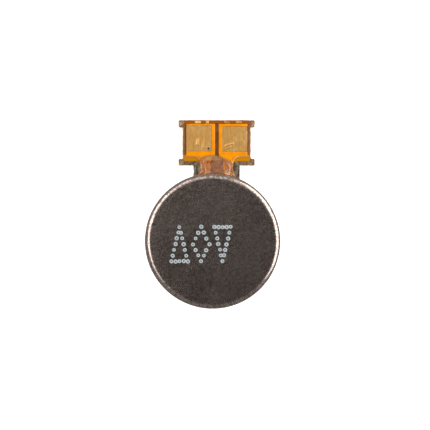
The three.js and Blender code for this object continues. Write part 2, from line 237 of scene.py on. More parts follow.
def fan(tip, ring, count, flip=False):
    """Triangles between a point and a ring of count points."""
    pairs = [(ring + i, ring + (i + 1) % count) for i in range(count)]
    return [[tip, b, a] if flip else [tip, a, b] for a, b in pairs]


def edge_rows(bottom, top, edge, steps=3):
    """(inset, height) rows of a sheet's edge, rounded at its bottom and top."""
    turn = [math.pi / 2 * k / steps for k in range(steps + 1)]
    low = [(edge * (1 - math.sin(a)), bottom + edge * (1 - math.cos(a))) for a in turn]
    high = [(edge * (1 - math.cos(a)), top - edge * (1 - math.sin(a))) for a in turn]
    return low + high


def plate_part(loops, rows):
    """A flat sheet from its outline (anticlockwise), its holes (clockwise) and (inset, height) edge rows."""
    vertices, faces, rims = [], [], []
    for loop in loops:
        start, count = len(vertices), len(loop)
        for distance, height in rows:
            vertices += [Vector((*p, height)) for p in inset(loop, distance)]
        for r in range(len(rows) - 1):
            faces += band(start + r * count, start + (r + 1) * count, count)
        rims.append((start, count))
    for row, flip in ((0, True), (len(rows) - 1, False)):
        rings = [range(start + row * count, start + (row + 1) * count) for start, count in rims]
        index = [i for ring in rings for i in ring]
        flat = [[vertices[i] * TO_MM for i in ring] for ring in rings]
        for triangle in geometry.tessellate_polygon(flat):
            face = [index[i] for i in triangle]
            a, b, c = (vertices[i].to_2d() for i in face)
            upward = (b - a).cross(c - a) > 0
            faces.append(face[::-1] if upward == flip else face)
    return vertices, faces


def plate(name, loops, bottom, top, edge, steps=3):
    return shaded(name, plate_part(loops, edge_rows(bottom, top, edge, steps)))


def lathe_part(profile, sides=ROUND, centre=(0, 0)):
    """A body turned about a vertical axis, from a closed profile of (radius, height) points."""
    vertices, faces = [], []
    count = len(profile)
    for i in range(sides):
        vertices += [Vector((*polar(r, 360 * i / sides, centre), z)) for r, z in profile]
        faces += band(i * count, (i + 1) % sides * count, count, flip=True)
    return vertices, faces


def ring_profile(inner, outer, bottom, top, edge):
    return rounded(rectangle(inner, outer, bottom, top), edge, 4)


def turned_solid(profile, sides):
    """A body turned from an open profile of (radius, height) points that starts and ends on the axis."""
    vertices = [Vector((0, 0, profile[0][1]))]
    faces = fan(0, 1, sides, flip=True)
    for r, z in profile[1:-1]:
        vertices += [Vector((*p, z)) for p in circle(r, sides=sides)]
    for ring in range(len(profile) - 3):
        faces += band(1 + ring * sides, 1 + (ring + 1) * sides, sides)
    tip = len(vertices)
    vertices.append(Vector((0, 0, profile[-1][1])))
    return vertices, faces + fan(tip, tip - sides, sides)


def sweep_part(path, section):
    """A bar along a path, with closed ends; its section's points are (to the right, upwards)."""
    vertices, faces = [], []
    count, last = len(section), len(path) - 1
    for i, here in enumerate(path):
        along = (path[min(i + 1, last)] - path[max(i - 1, 0)]).normalized()
        right = along.cross(Vector((0, 0, 1))).normalized()
        up = right.cross(along)
        vertices += [here + right * x + up * y for x, y in section]
        if i < last:
            faces += band(i * count, (i + 1) * count, count, flip=True)
    ends = [list(range(count)), list(range(len(vertices) - 1, len(vertices) - 1 - count, -1))]
    return vertices, faces + ends


def moved(part, place, turn=0):
    """A part turned about the vertical by an angle in degrees, then moved."""
    matrix = Matrix.Translation(Vector(place)) @ Matrix.Rotation(math.radians(turn), 4, "Z")
    return [matrix @ v for v in part[0]], part[1]


# ---------------------------------------------------------------- materials


def srgb(red, green, blue):
    """A colour given as eight-bit display values, as the linear colour that a shader takes."""
    levels = (v / 255 for v in (red, green, blue))
    return tuple(v / 12.92 if v <= 0.04045 else ((v + 0.055) / 1.055) ** 2.4 for v in levels) + (1.0,)


class Graph:
    """A node tree that grows by short calls."""

    def __init__(self, tree):
        self.nodes = tree.nodes
        self.links = tree.links

    def node(self, kind, settings=None, **inputs):
        """A new node. An input's name is its socket's, or _ and the socket's number."""
        node = self.nodes.new(kind)
        for key, value in (settings or {}).items():
            setattr(node, key, value)
        for key, value in inputs.items():
            socket = node.inputs[int(key[1:]) if key[0] == "_" else key.replace("_", " ")]
            if isinstance(value, bpy.types.NodeSocket):
                self.links.new(value, socket)
            else:
                socket.default_value = value
        return node


class Shader(Graph):
    """A material with a Principled shader. Its textures take their sizes in millimetres."""

    def __init__(self, name, **values):
        self.material = bpy.data.materials.new(name)
        self.material.use_nodes = True
        super().__init__(self.material.node_tree)
        self.principled = self.nodes["Principled BSDF"]
        for socket, value in values.items():
            self.principled.inputs[socket.replace("_", " ")].default_value = value

    def feed(self, socket, source):
        self.links.new(source, self.principled.inputs[socket])

    def finished(self, colour, roughness, normal):
        self.feed("Base Color", colour)
        self.feed("Roughness", roughness)
        self.feed("Normal", normal)
        return self.material

    def place(self, stretch=(1, 1, 1)):
        where = self.node("ShaderNodeTexCoord")
        scale = tuple(TO_MM / s for s in stretch)
        return self.node("ShaderNodeMapping", Vector=where.outputs["Object"], Scale=scale).outputs[0]

    def noise(self, size, detail=3.0, stretch=(1, 1, 1), roughness=0.5, distortion=0.0):
        inputs = {"Scale": 1 / size, "Detail": detail, "Roughness": roughness, "Distortion": distortion}
        return self.node("ShaderNodeTexNoise", Vector=self.place(stretch), **inputs).outputs["Fac"]

    def cells(self, size):
        return self.node("ShaderNodeTexVoronoi", Vector=self.place(), Scale=1 / size).outputs["Distance"]

    def spread(self, value, low, high, start=0.35, end=0.65):
        """Maps the values from start to end, a texture's middle ones, to low and high."""
        inputs = {"From_Min": start, "From_Max": end, "To_Min": low, "To_Max": high}
        return self.node("ShaderNodeMapRange", Value=value, **inputs).outputs[0]

    def mix(self, factor, first, second):
        mix = self.node("ShaderNodeMix", {"data_type": "RGBA"}, _0=factor, _6=first, _7=second)
        return mix.outputs[2]

    def math(self, operation, first, second):
        return self.node("ShaderNodeMath", {"operation": operation}, _0=first, _1=second).outputs[0]

    def bump(self, height, depth, **under):
        """A bump whose height texture, 0 to 1, stands for a depth in metres."""
        return self.node("ShaderNodeBump", Height=height, Distance=depth, **under).outputs[0]

    def centred(self, texture, contrast):
        """A texture's swing round zero, made smaller where the contrast is below 1."""
        return self.math("MULTIPLY", self.math("SUBTRACT", texture, 0.5), contrast)

    def position(self, axis):
        where = self.node("ShaderNodeTexCoord").outputs["Object"]
        return self.node("ShaderNodeSeparateXYZ", Vector=where).outputs[axis]

    def off_middle(self):
        """Distance from the tail's middle, to either side."""
        return self.math("ABSOLUTE", self.math("SUBTRACT", self.position("X"), TAIL_X), 0.0)


def metal(name, light, dark, roughness, grain=0.1, depth=0.004, streak=(1, 1, 1), spread=0.12):
    """A worked metal: two tones in patches, fine grain, and roughness that follows both."""
    shader = Shader(name, Metallic=1.0)
    patches = shader.noise(0.9, 4, streak)
    grains = shader.noise(grain, 3, streak, 0.6)
    tone = shader.mix(shader.spread(patches, 0, 1), srgb(*dark), srgb(*light))
    coarse, fine = shader.math("MULTIPLY", patches, 0.6), shader.math("MULTIPLY", grains, 0.4)
    both = shader.math("ADD", coarse, fine)
    rough = shader.spread(both, roughness - spread, roughness + spread)
    return shader.finished(tone, rough, shader.bump(grains, depth * MM))


def plastic(name, light, dark, roughness):
    """A moulded or laminated material with fine grain."""
    shader = Shader(name)
    patches = shader.noise(0.8, 4)
    grains = shader.noise(0.12, 3)
    tone = shader.mix(shader.spread(patches, 0, 1), srgb(*dark), srgb(*light))
    rough = shader.spread(grains, roughness - 0.1, roughness + 0.1)
    return shader.finished(tone, rough, shader.bump(grains, 0.004 * MM))


def case_material():
    """Satin steel: fine grain on the flat top, which the drawing pulls into upright streaks on the wall."""
    shader = Shader("case steel", Metallic=1.0)
    upright = (1, 1, 14)
    grains = shader.noise(0.14, 3, upright)
    fine = shader.noise(0.05, 2, upright, 0.6)
    patches = shader.noise(2.2, 3, (1, 1, 5))
    contrast = shader.spread(shader.position("Z"), 0.35, 1, CASE_TOP - CASE_CORNER, CASE_TOP - 0.1 * MM)
    grains = shader.centred(grains, contrast)
    tone = shader.mix(shader.spread(grains, 0, 1, -0.2, 0.2), srgb(112, 99, 93), srgb(202, 184, 174))
    tone = shader.mix(shader.spread(patches, 0, 0.5, 0.4, 0.7), tone, srgb(136, 123, 116))
    rough = shader.math("ADD", shader.spread(patches, 0.23, 0.27), shader.spread(fine, -0.02, 0.03))
    under = shader.bump(grains, 0.0025 * MM)
    return shader.finished(tone, rough, shader.bump(fine, 0.0006 * MM, Normal=under))


def plate_material():
    """Pressed steel: clean on the disc, dark and rolled on the tongue, golden and torn on the ears."""
    shader = Shader("pressed steel", Metallic=1.0)
    tears = shader.noise(0.16, 4, (1, 1, 2.5), 0.65)
    blotches = shader.noise(0.4, 3)
    rolled = shader.noise(0.18, 3, (1, 5, 5), 0.7)
    on_tongue = shader.spread(shader.position("Y"), 0, 1, 4.4 * MM, 5.0 * MM)
    grainy = shader.centred(rolled, shader.spread(on_tongue, 0.4, 1, 0, 1))
    plain = shader.mix(shader.spread(grainy, 0, 1, -0.2, 0.2), srgb(56, 47, 40), srgb(236, 214, 186))
    clean = shader.mix(shader.spread(grainy, 0, 1, -0.2, 0.2), srgb(128, 124, 120), srgb(190, 185, 178))
    plain = shader.mix(on_tongue, clean, plain)
    torn = shader.mix(shader.spread(blotches, 0, 1), srgb(170, 138, 106), srgb(234, 202, 166))
    torn = shader.mix(shader.spread(tears, 0, 0.8, 0.5, 0.62), torn, srgb(90, 68, 52))
    on_ears = shader.spread(shader.off_middle(), 0.5, 1, 2.0 * MM, 2.3 * MM)
    on_head = shader.spread(shader.position("Y"), 0, 1, HEAD_BOTTOM - 0.1 * MM, HEAD_BOTTOM)
    worn = shader.math("MULTIPLY", on_ears, on_head)
    ragged = shader.bump(shader.math("MULTIPLY", tears, worn), 0.025 * MM)
    bump = shader.bump(rolled, 0.002 * MM, Normal=ragged)
    return shader.finished(shader.mix(worn, plain, torn), shader.spread(tears, 0.22, 0.4), bump)


def film_material(name, light, dark, roughness=0.2, far=None, near=None):
    """Polyimide film: mottled and glossy, with specks of dust and the ripple of its press pad.

    far and near are the colours towards the tongue's tip and towards the case, where they differ.
    """
    shader = Shader(name, Specular_IOR_Level=0.2)
    mottle = shader.noise(0.5, 4)
    ripple = shader.noise(0.14, 2)
    dust = shader.cells(0.4)
    tone = shader.mix(shader.spread(mottle, 0, 1), srgb(*dark), srgb(*light))
    for colour, start, end in ((near, 6.4 * MM, 6.28 * MM), (far, 8.5 * MM, 8.7 * MM)):
        if colour:
            tone = shader.mix(shader.spread(shader.position("Y"), 0, 1, start, end), tone, srgb(*colour))
    tone = shader.mix(shader.spread(dust, 0.3, 0, 0.0, 0.06), tone, srgb(250, 224, 180))
    rough = shader.spread(mottle, roughness - 0.06, roughness + 0.08)
    return shader.finished(tone, rough, shader.bump(ripple, 0.003 * MM))


def gold_material(name="worn gold", light=(214, 168, 100), dark=(182, 134, 70), roughness=0.5):
    """Thin gold over nickel, worn dull, with faint wiping streaks along the pads."""
    shader = Shader(name, Metallic=1.0)
    streaks = shader.noise(0.5, 5, (0.22, 2.2, 1), 0.55, 0.3)
    grains = shader.noise(0.1, 3)
    bare = shader.noise(0.5, 4, (0.8, 1.4, 1), 0.6)
    tone = shader.mix(shader.spread(streaks, 0, 1), srgb(*dark), srgb(*light))
    tone = shader.mix(shader.spread(bare, 0, 0.5, 0.56, 0.7), tone, srgb(214, 184, 142))
    wipes = shader.spread(streaks, roughness + 0.06, roughness - 0.06)
    rough = shader.math("ADD", wipes, shader.spread(grains, -0.05, 0.05))
    under = shader.bump(streaks, 0.004 * MM)
    return shader.finished(tone, rough, shader.bump(grains, 0.003 * MM, Normal=under))


def resin_material():
    """Amber resin with burnt wisps and pale flecks, and a painted highlight along its front, most of all at
    the corners, where it is made paler and less clear.
    """
    shader = Shader("amber resin", IOR=1.5)
    cloud = shader.noise(0.5, 4, distortion=0.5)
    wisps = shader.noise(0.24, 3, (0.7, 1.5, 1), distortion=0.8)
    flecks = shader.noise(0.12, 3, (0.6, 1.4, 1), distortion=1.0)
    tone = shader.mix(shader.spread(cloud, 0, 1), srgb(216, 162, 88), srgb(242, 216, 140))
    tone = shader.mix(shader.spread(wisps, 0, 0.9, 0.5, 0.64), tone, srgb(168, 90, 34))
    tone = shader.mix(shader.spread(flecks, 0, 0.6, 0.58, 0.7), tone, srgb(255, 234, 182))
    waver = shader.math("MULTIPLY", shader.centred(cloud, 1.0), 1.2 * MM)
    # painted highlight: towards the front, and most towards its corners, the resin is paler and lets less
    # light through, standing in for a reflection
    at_front = shader.spread(shader.math("ADD", shader.position("Y"), waver), 0, 1, 5.8 * MM, 6.3 * MM)
    at_corners = shader.spread(shader.off_middle(), 0.2, 1, 0.3 * MM, 0.9 * MM)
    painted_highlight = shader.math("MULTIPLY", at_front, at_corners)
    tone = shader.mix(painted_highlight, tone, srgb(180, 126, 76))
    painted_highlight_opacity = shader.math("MULTIPLY", painted_highlight, 0.42)
    clear = shader.math("SUBTRACT", shader.spread(flecks, 0.95, 0.84), painted_highlight_opacity)
    shader.feed("Transmission Weight", clear)
    bump = shader.bump(shader.noise(0.26, 2), 0.009 * MM)
    return shader.finished(tone, shader.spread(cloud, 0.04, 0.14), bump)


def mark_material():
    """The grey crust of a laser-melted pit."""
    shader = Shader("laser mark", Metallic=0.5)
    crust = shader.noise(0.05, 3)
    tone = shader.mix(shader.spread(crust, 0, 1), srgb(138, 147, 151), srgb(186, 193, 196))
    return shader.finished(tone, shader.spread(crust, 0.5, 0.75), shader.bump(crust, 0.006 * MM))


def board_material():
    """Glass-cloth laminate under green solder resist: a fine square weave shows faintly."""
    shader = Shader("rotor board", Coat_Weight=0.4, Coat_Roughness=0.2)
    threads = []
    for axis in ("X", "Y"):
        phase = shader.math("MULTIPLY", shader.position(axis), 2 * math.pi / (0.24 * MM))
        threads.append(shader.math("SINE", phase, 0.0))
    weave = shader.spread(shader.math("MULTIPLY", *threads), 0, 1, -1, 1)
    tone = shader.mix(weave, srgb(20, 74, 40), srgb(34, 98, 54))
    roughness = shader.spread(shader.noise(0.2), 0.35, 0.5)
    return shader.finished(tone, roughness, shader.bump(weave, 0.004 * MM))


def floor_material():
    """A white table lit from below, as for a cut-out picture."""
    shader = Shader("studio floor", Roughness=0.9, Emission_Strength=0.78)
    faint = shader.noise(9, 3)
    tone = shader.mix(shader.spread(faint, 0, 1), (0.9, 0.9, 0.9, 1), (0.93, 0.93, 0.93, 1))
    shader.feed("Base Color", tone)
    shader.feed("Emission Color", tone)
    return shader.material


STEEL_CASE = case_material()
STEEL_PLATE = plate_material()
STEEL_SHAFT = metal("ground steel", (214, 214, 216), (190, 190, 193), 0.14, 0.05, 0.001, (1, 1, 0.1), 0.05)
WELD = metal("weld", (168, 160, 158), (96, 88, 96), 0.3, 0.05, 0.006)
ADHESIVE = plastic("adhesive", (104, 70, 44), (66, 42, 26), 0.6)
FILM = film_material("base film", (134, 92, 54), (116, 76, 42), far=(136, 72, 16), near=(170, 108, 8))
FILM_BARE = film_material("film over adhesive", (104, 64, 38), (86, 50, 28), 0.24, near=(142, 60, 14))
# its near colour is a painted highlight: the cut edge's lower side, towards the case, is made pale
FILM_EDGE = film_material("film's cut edge", (104, 62, 36), (86, 50, 28), near=(226, 176, 124))
FILM_OVER_COPPER = film_material("film over copper", (216, 132, 2), (200, 120, 1))
COPPER = metal("copper foil", (236, 186, 106), (206, 144, 68), 0.45, 0.1, 0.006)
GOLD = gold_material()
GOLD_BRIGHT = gold_material("commutator gold", (246, 206, 124), (230, 180, 92), 0.24)
# painted shade: a near-black dish that stands for the dark inside of the probe's pinhole
PINHOLE_SHADE = plastic("painted pinhole shade", (20, 13, 9), (10, 7, 5), 0.8)
RESIN = resin_material()
MARK = mark_material()
MAGNET = metal("nickel-plated magnet", (176, 176, 180), (140, 140, 146), 0.24, 0.08, 0.004)
WASHER = plastic("washer film", (38, 38, 40), (20, 20, 22), 0.4)
BRUSH = metal("brush alloy", (240, 206, 140), (214, 172, 104), 0.22, 0.08, 0.002, (1, 0.15, 1))
SOLDER = metal("solder", (214, 216, 220), (176, 180, 186), 0.22, 0.12, 0.006)
BRONZE = metal("sintered bronze", (196, 146, 92), (132, 92, 54), 0.48, 0.06, 0.016)
BOARD = board_material()
MOULD = plastic("liquid-crystal polymer", (48, 48, 52), (28, 28, 31), 0.5)
WIRE = metal("enamelled wire", (206, 110, 58), (160, 72, 34), 0.26, 0.06, 0.002)
TUNGSTEN = metal("tungsten alloy", (140, 140, 146), (98, 98, 104), 0.42, 0.05, 0.008)


def set_up(piece, body, slot, materials, *nodes):
    """Gives a piece its materials and its body, and hides the CAD nodes that it stands for. Its slot is not
    used.
    """
    for material in materials:
        piece.data.materials.append(material)
    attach(piece, body)
    if nodes:
        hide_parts(*nodes)


# ---------------------------------------------------------------- case

CASE_SIDES = 384
CASE_LIP = 0.03 * MM  # chamfer of the mouth
WALL_ROWS = (1.6, 1.1, 0.75, 0.5, 0.2)  # heights over the mouth, in millimetres
NOTCH_HALF = 1.5 * MM
NOTCH_TOP = 0.52 * MM
NICKS = 26
NICKS_AT_TAIL = 14  # of them, near the tail's left


def case_profile():
    """The cup's section as (radius, height) points, from beside its middle out, down and back inside."""
    flat = CASE_RADIUS - CASE_CORNER
    drop = CASE_TOP - CROWN - CASE_CORNER
    inside = CASE_RADIUS - SHEET

    def top_at(r):
        return CASE_TOP - CROWN * (r / flat) ** 2

    profile = [(flat * k / 12, top_at(flat * k / 12)) for k in range(1, 13)]
    profile += [(flat + p.x, drop + p.y) for p in arc(CASE_CORNER, 90, 0, 14)[1:]]
    profile += [(CASE_RADIUS, CASE_MOUTH + h * MM) for h in WALL_ROWS]
    profile += [(CASE_RADIUS, CASE_MOUTH + CASE_LIP), (CASE_RADIUS - CASE_LIP, CASE_MOUTH)]
    profile += [(inside + CASE_LIP, CASE_MOUTH), (inside, CASE_MOUTH + CASE_LIP)]
    profile += [(inside, CASE_MOUTH + h * MM) for h in reversed(WALL_ROWS)]
    profile += [(flat + p.x, drop + p.y) for p in arc(CASE_CORNER - SHEET, 0, 90, 5)]
    return profile + [(flat * k / 4, top_at(flat * k / 4) - SHEET) for k in (3, 2, 1)]


def case_shell():
    """The drawn cup, revolved, with a notch in its mouth where the tail passes."""
    profile = case_profile()
    count = len(profile)
    notch_reach = math.degrees(math.asin(NOTCH_HALF / CASE_RADIUS))
    notch_middle = 90 - math.degrees(TAIL_X / CASE_RADIUS)
    squeeze = CASE_LIP / (NOTCH_TOP - CASE_MOUTH + CASE_LIP)
    vertices, faces = [], []
    top, under = CASE_SIDES * count, CASE_SIDES * count + 1
    for i in range(CASE_SIDES):
        degrees = 360 * i / CASE_SIDES
        in_notch = abs(degrees - notch_middle) < notch_reach
        for r, z in profile:
            # in the notch the wall's lowest rows are gathered at the notch's top
            if in_notch and z < NOTCH_TOP + CASE_LIP:
                z = NOTCH_TOP + (z - CASE_MOUTH) * squeeze
            vertices.append(Vector((*polar(r, degrees), z)))
        here, after = i * count, (i + 1) % CASE_SIDES * count
        faces.extend([after + k + 1, after + k, here + k, here + k + 1] for k in range(count - 1))
        faces.append([top, here, after])
        faces.append([under, after + count - 1, here + count - 1])
    vertices += [Vector((0, 0, CASE_TOP)), Vector((0, 0, CASE_TOP - SHEET))]
    for k in range(NICKS):
        press_nick(vertices, draws.gauss(132, 16) if k < NICKS_AT_TAIL else draws.uniform(0, 360))
    return even_shading(mesh_object("case_shell", vertices, faces))


def press_nick(vertices, degrees):
    """Presses a handling mark of random size into the rim, at an angle round the case."""
    on_rim = polar(CASE_CORNER, draws.uniform(20, 70))
    out = CASE_RADIUS - CASE_CORNER + on_rim.y
    place = Vector((*polar(out, degrees), CASE_TOP - CROWN - CASE_CORNER + on_rim.x))
    radius, depth = draws.uniform(0.06, 0.14) * MM, draws.uniform(0.008, 0.026) * MM
    heading = Vector((place.x, place.y, 0)).normalized() + Vector((0, 0, 1))
    for v in vertices:
        away = (v - place).length / radius
        if away < 1.6:
            v -= heading * depth * math.exp(-2.5 * away * away)


set_up(case_shell(), "stator", "case_steel", [STEEL_CASE], "case_cup")

# ---------------------------------------------------------------- laser mark: three plain dot shapes

DOT_ROWS = 7
DOT_COLUMN = 0.3 * MM
DOT_ROW = 0.42 * MM
DOT_RADIUS = 0.135 * MM
DOT_HEIGHT = 0.009 * MM
MARK_HALF = 0.6 * MM  # half the width of one shape
MARK_CENTRES = (-2.43 * MM, -0.85 * MM, 0.73 * MM)
MARK_TOP = 1.03 * MM
# Section of a laser-melted pit, a raised ring round a hollow middle, in parts of its radius and height
PIT = (
    *((0, -3), (1.12, -3), (1.12, 0), (0.98, 0.7)),
    *((0.82, 1), (0.62, 0.8), (0.42, 0.05), (0.2, -0.3), (0, -0.35)),
)


def mark_dots():
    """Dot places of an upright triangle, a diamond and a hanging triangle, row by row."""
    last = DOT_ROWS - 1
    for row in range(DOT_ROWS):
        y = MARK_TOP - row * DOT_ROW
        spans = (row / last, 1 - abs(2 * row / last - 1), 1 - row / last)
        filled = (row == last, False, row == 0)
        for centre, span, full in zip(MARK_CENTRES, spans, filled):
            reach = MARK_HALF * span
            steps = round(reach / DOT_COLUMN) if full else 1
            columns = range(-steps, steps + 1) if full else (1, -1)
            for column in columns if reach else (0,):
                yield centre + reach * column / steps, y


def laser_marks():
    parts = []
    flat = CASE_RADIUS - CASE_CORNER
    for x, y in mark_dots():
        x += draws.gauss(0, 0.012) * MM
        y += draws.gauss(0, 0.012) * MM
        z = CASE_TOP - CROWN * (x * x + y * y) / flat**2
        size = DOT_RADIUS * draws.uniform(0.88, 1.08)
        pit = turned_solid([(size * r, DOT_HEIGHT * h) for r, h in PIT], 18)
        parts.append(moved(pit, (x, y, z)))
    return joined("laser_marks", parts)


set_up(laser_marks(), "stator", "case_steel", [MARK])

# ---------------------------------------------------------------- seam welds

SEAM_WELDS = 7
NUGGET = (0.2 * MM, 0.13 * MM, 0.035 * MM)  # half width, half height, and how far it stands proud
NUGGET_SUNK = 0.012 * MM


def nugget_part(width, height, proud):
    """A laser weld spot: an oval of frozen ripples, standing on the YZ plane and facing +X."""
    rings, sides = 9, 24
    vertices = [Vector((proud * 0.7, 0, 0))]
    faces = fan(0, 1, sides)
    for k in range(1, rings + 1):
        t = k / rings
        swell = proud * (1 - t * t) * (1 + 0.16 * math.cos(t * 6 * math.pi))
        vertices += [Vector((swell, width * p.x, height * p.y)) for p in circle(t, sides=sides)]
        if k < rings:
            faces += band(1 + (k - 1) * sides, 1 + k * sides, sides, flip=True)
    back = len(vertices)
    vertices.append(Vector((-proud, 0, 0)))
    return vertices, faces + fan(back, back - sides, sides, flip=True)


def seam_welds():
    parts = []
    for k in range(SEAM_WELDS):
        degrees = 90 + 360 * (k + 0.5) / SEAM_WELDS + draws.uniform(-3, 3)
        place = (*polar(CASE_RADIUS - NUGGET_SUNK, degrees), CASE_MOUTH)
        parts.append(moved(nugget_part(*NUGGET), place, degrees))
    return joined("seam_welds", parts)


set_up(seam_welds(), "stator", "case_steel", [WELD])

# ---------------------------------------------------------------- base plate

SHAFT_RADIUS = SHAFT_BOX[1].x
SHAFT_FIT = SHAFT_RADIUS + 0.004 * MM
COLLAR_RADIUS = 0.72 * MM
COLLAR_FOOT = COLLAR_RADIUS + 0.14 * MM
COLLAR_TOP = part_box("base_plate")[1].z
ROLLOVER = 0.024 * MM  # rounding of the upper edge, where the punch drew it over
HOLE_ORBIT = 3.35 * MM  # of the two slots and the two round holes


def tail_outline(radius, half, middle):
    """A disc with a tail: half lists its right side as (distance from the middle, y, rounding)."""
    right = [(middle + x, y, r) for x, y, r in half]
    left = [(middle - x, y, r) for x, y, r in reversed(half)]
    start = math.degrees(math.acos(right[0][0] / radius))
    end = math.degrees(math.acos(left[-1][0] / radius))
    steps = 6
    # the first and last corners lie on the circle, and the arc between them replaces their rounding
    tail = rounded(right + left, 0.07 * MM)[steps:-steps]
    return [*arc(radius, end - 360, start, ROUND), *tail]


def base_outline():
    root = math.sqrt(BASE_RADIUS**2 - (TAIL_X + NECK_HALF) ** 2)
    inner, outer = 0.06 * MM, 0.12 * MM  # roundings of the corners
    half = [
        (NECK_HALF, root, inner),
        (NECK_HALF, HEAD_BOTTOM, inner),
        (EAR_HALF, HEAD_BOTTOM, outer),
        (EAR_HALF, LOWER_EAR_TOP, outer),
        (WAIST_HALF, LOWER_EAR_TOP, inner),
        (WAIST_HALF, UPPER_EAR_BOTTOM, inner),
        (EAR_HALF, UPPER_EAR_BOTTOM, outer),
        (EAR_HALF, HEAD_TOP, outer),
    ]
    return tail_outline(BASE_RADIUS, half, TAIL_X)


def slot_hole(orbit, half_width, middle, half_angle):
    """A curved slot with round ends, clockwise as a hole is."""
    start, end = middle - half_angle, middle + half_angle
    outline = arc(orbit + half_width, end, start, 12)
    outline += arc(half_width, start, start - 180, 8, polar(orbit, start))[1:-1]
    outline += arc(orbit - half_width, start, end, 12)
    return outline + arc(half_width, end + 180, end, 8, polar(orbit, end))[1:-1]


def base_plate():
    """The pressed plate: a burr at its lower edge, a rolled upper one, and a collar round the shaft."""
    rows = [(0.012 * MM, 0.0), (0.0, 0.012 * MM), (0.004 * MM, 0.06 * MM), (0.0, 0.1 * MM)]
    rows += [(ROLLOVER * a, SHEET - ROLLOVER * b) for a, b in ((0, 1), (0.15, 0.5), (0.5, 0.15), (1, 0))]
    rows.append((ROLLOVER + 0.03 * MM, SHEET))
    loops = [divided(base_outline(), 0.1 * MM)]
    loops += [slot_hole(HOLE_ORBIT, 0.18 * MM, a, 10) for a in (210, 330)]
    loops += [circle(0.28 * MM, polar(HOLE_ORBIT, a), 40, True) for a in (150, 30)]
    loops.append(circle(SHAFT_FIT, sides=64, clockwise=True))
    sheet = plate_part(loops, rows)
    for v in sheet[0]:
        if v.y > HEAD_BOTTOM - 0.8 * MM:
            shear_edge(v)
    section = [
        (SHAFT_FIT, 0.1 * MM),
        (COLLAR_FOOT, 0.12 * MM),
        (COLLAR_FOOT, SHEET + 0.005 * MM),
        (COLLAR_RADIUS, SHEET + 0.06 * MM),
        (COLLAR_RADIUS, COLLAR_TOP),
        (SHAFT_FIT, COLLAR_TOP),
    ]
    return shaded("pressed_base_plate", sheet, lathe_part(rounded(section, 0.03 * MM, 4), 64))


def shear_edge(v):
    """Works a point of the tongue's torn edges: they waver, and their faces are uneven."""
    sample = Vector((v.x, v.y, v.z * 2)) * TO_MM
    v.x += 0.022 * MM * noise.noise(sample * 2.2)
    v.y += 0.022 * MM * noise.noise(sample * 2.2 + Vector((7, 3, 1)))
    if v.z > SHEET / 2:
        v.z += 0.012 * MM * noise.noise(sample * 1.4 + Vector((2, 9, 4)))


set_up(base_plate(), "stator", "base_steel", [STEEL_PLATE], "base_plate")

# ---------------------------------------------------------------- flex circuit

FLEX_DISC = BASE_FILM_BOX[1].x
FLEX_HOLE = 0.95 * MM
FLEX_NECK = 1.2 * MM
FLEX_FILLET = 0.34 * MM
FLEX_HEAD = 2.47 * MM
FLEX_LOW = 5.9 * MM  # lower edge of the head
FLEX_TOP = BASE_FILM_BOX[1].y
COVER_LOW = 6.25 * MM  # where the cover film ends, so that the base film shows below
COVER_HIGH = 8.75 * MM
COVER_FILLET = 0.62 * MM
COVER_MARGIN = 0.1 * MM  # how far the cover film stops short of the base film at the head's sides
COVER_SLOPE = 0.05 * MM  # width of its sloping cut edge
COVER_RAISED = 0.02 * MM  # how far it stands up over copper
ISLAND_LOW = 6.29 * MM
ISLAND_HIGH = 8.68 * MM
ISLAND_INNER = 0.134 * MM
ISLAND_OUTER = 2.27 * MM
TRACE_INNER = 0.47 * MM
TRACE_OUTER = 1.12 * MM
LAND_X = 1.26 * MM
LAND_HALF = 0.34 * MM
LAND_LOW = -1.7 * MM
LAND_HIGH = -0.85 * MM
TIE_BARS = ((-1.08, 0.45), (-0.39, 0.22), (1.07, 0.42), (1.94, 0.44))  # (x, width) in millimetres
TIE_NECK = 0.04 * MM


def flex_loops(shrink=0.0, low=FLEX_LOW, high=FLEX_TOP, head=FLEX_HEAD, fillet=FLEX_FILLET):
    """A film's outline and its round hole; low, high and head are the edges of its head."""
    neck, head, radius = FLEX_NECK - shrink, head - shrink, FLEX_DISC - shrink
    root = math.sqrt(radius**2 - (FLEX_X + neck) ** 2)
    foot = [(neck, root, 0), (neck, low + shrink, fillet)]
    half = [*foot, (head, low + shrink, 0.1 * MM), (head, high - shrink, 0.06 * MM)]
    return [tail_outline(radius, half, FLEX_X), circle(FLEX_HOLE + shrink, sides=96, clockwise=True)]


def copper_corners(side):
    """One side's copper, from its island down the neck to its brush's land; side is -1 or 1."""
    inner, outer, trace_inner, trace_outer = (
        FLEX_X + side * x for x in (ISLAND_INNER, ISLAND_OUTER, TRACE_INNER, TRACE_OUTER)
    )
    land_inner, land_outer = side * (LAND_X - LAND_HALF), side * (LAND_X + LAND_HALF)
    return [
        (inner, ISLAND_HIGH),
        (inner, 6.35 * MM, 0.2 * MM),
        (trace_inner, 5.95 * MM, 0.2 * MM),
        (trace_inner, 3.4 * MM),
        (land_inner, 2.2 * MM),
        (land_inner, LAND_LOW),
        (land_outer, LAND_LOW),
        (land_outer, 2.4 * MM),
        (trace_outer, 3.6 * MM),
        (trace_outer, ISLAND_LOW, 0.5 * MM),
        (outer, ISLAND_LOW),
        (outer, ISLAND_HIGH),
    ]


def tie_bar_outlines(side):
    """The stubs of the plating bars: a thin neck from the island to a wide end at the film's edge."""
    top = FLEX_TOP - 0.03 * MM
    shoulder = COVER_HIGH - 0.03 * MM
    for x, width in TIE_BARS:
        x, wide = x * MM, width * MM / 2
        if (x - FLEX_X) * side > 0:
            right = [(TIE_NECK, ISLAND_HIGH - 0.1 * MM), (TIE_NECK, shoulder)]
            right += [(wide, shoulder), (wide, top)]
            corners = [(x + w, y) for w, y in right] + [(x - w, y) for w, y in reversed(right)]
            yield rounded(corners, 0.03 * MM)


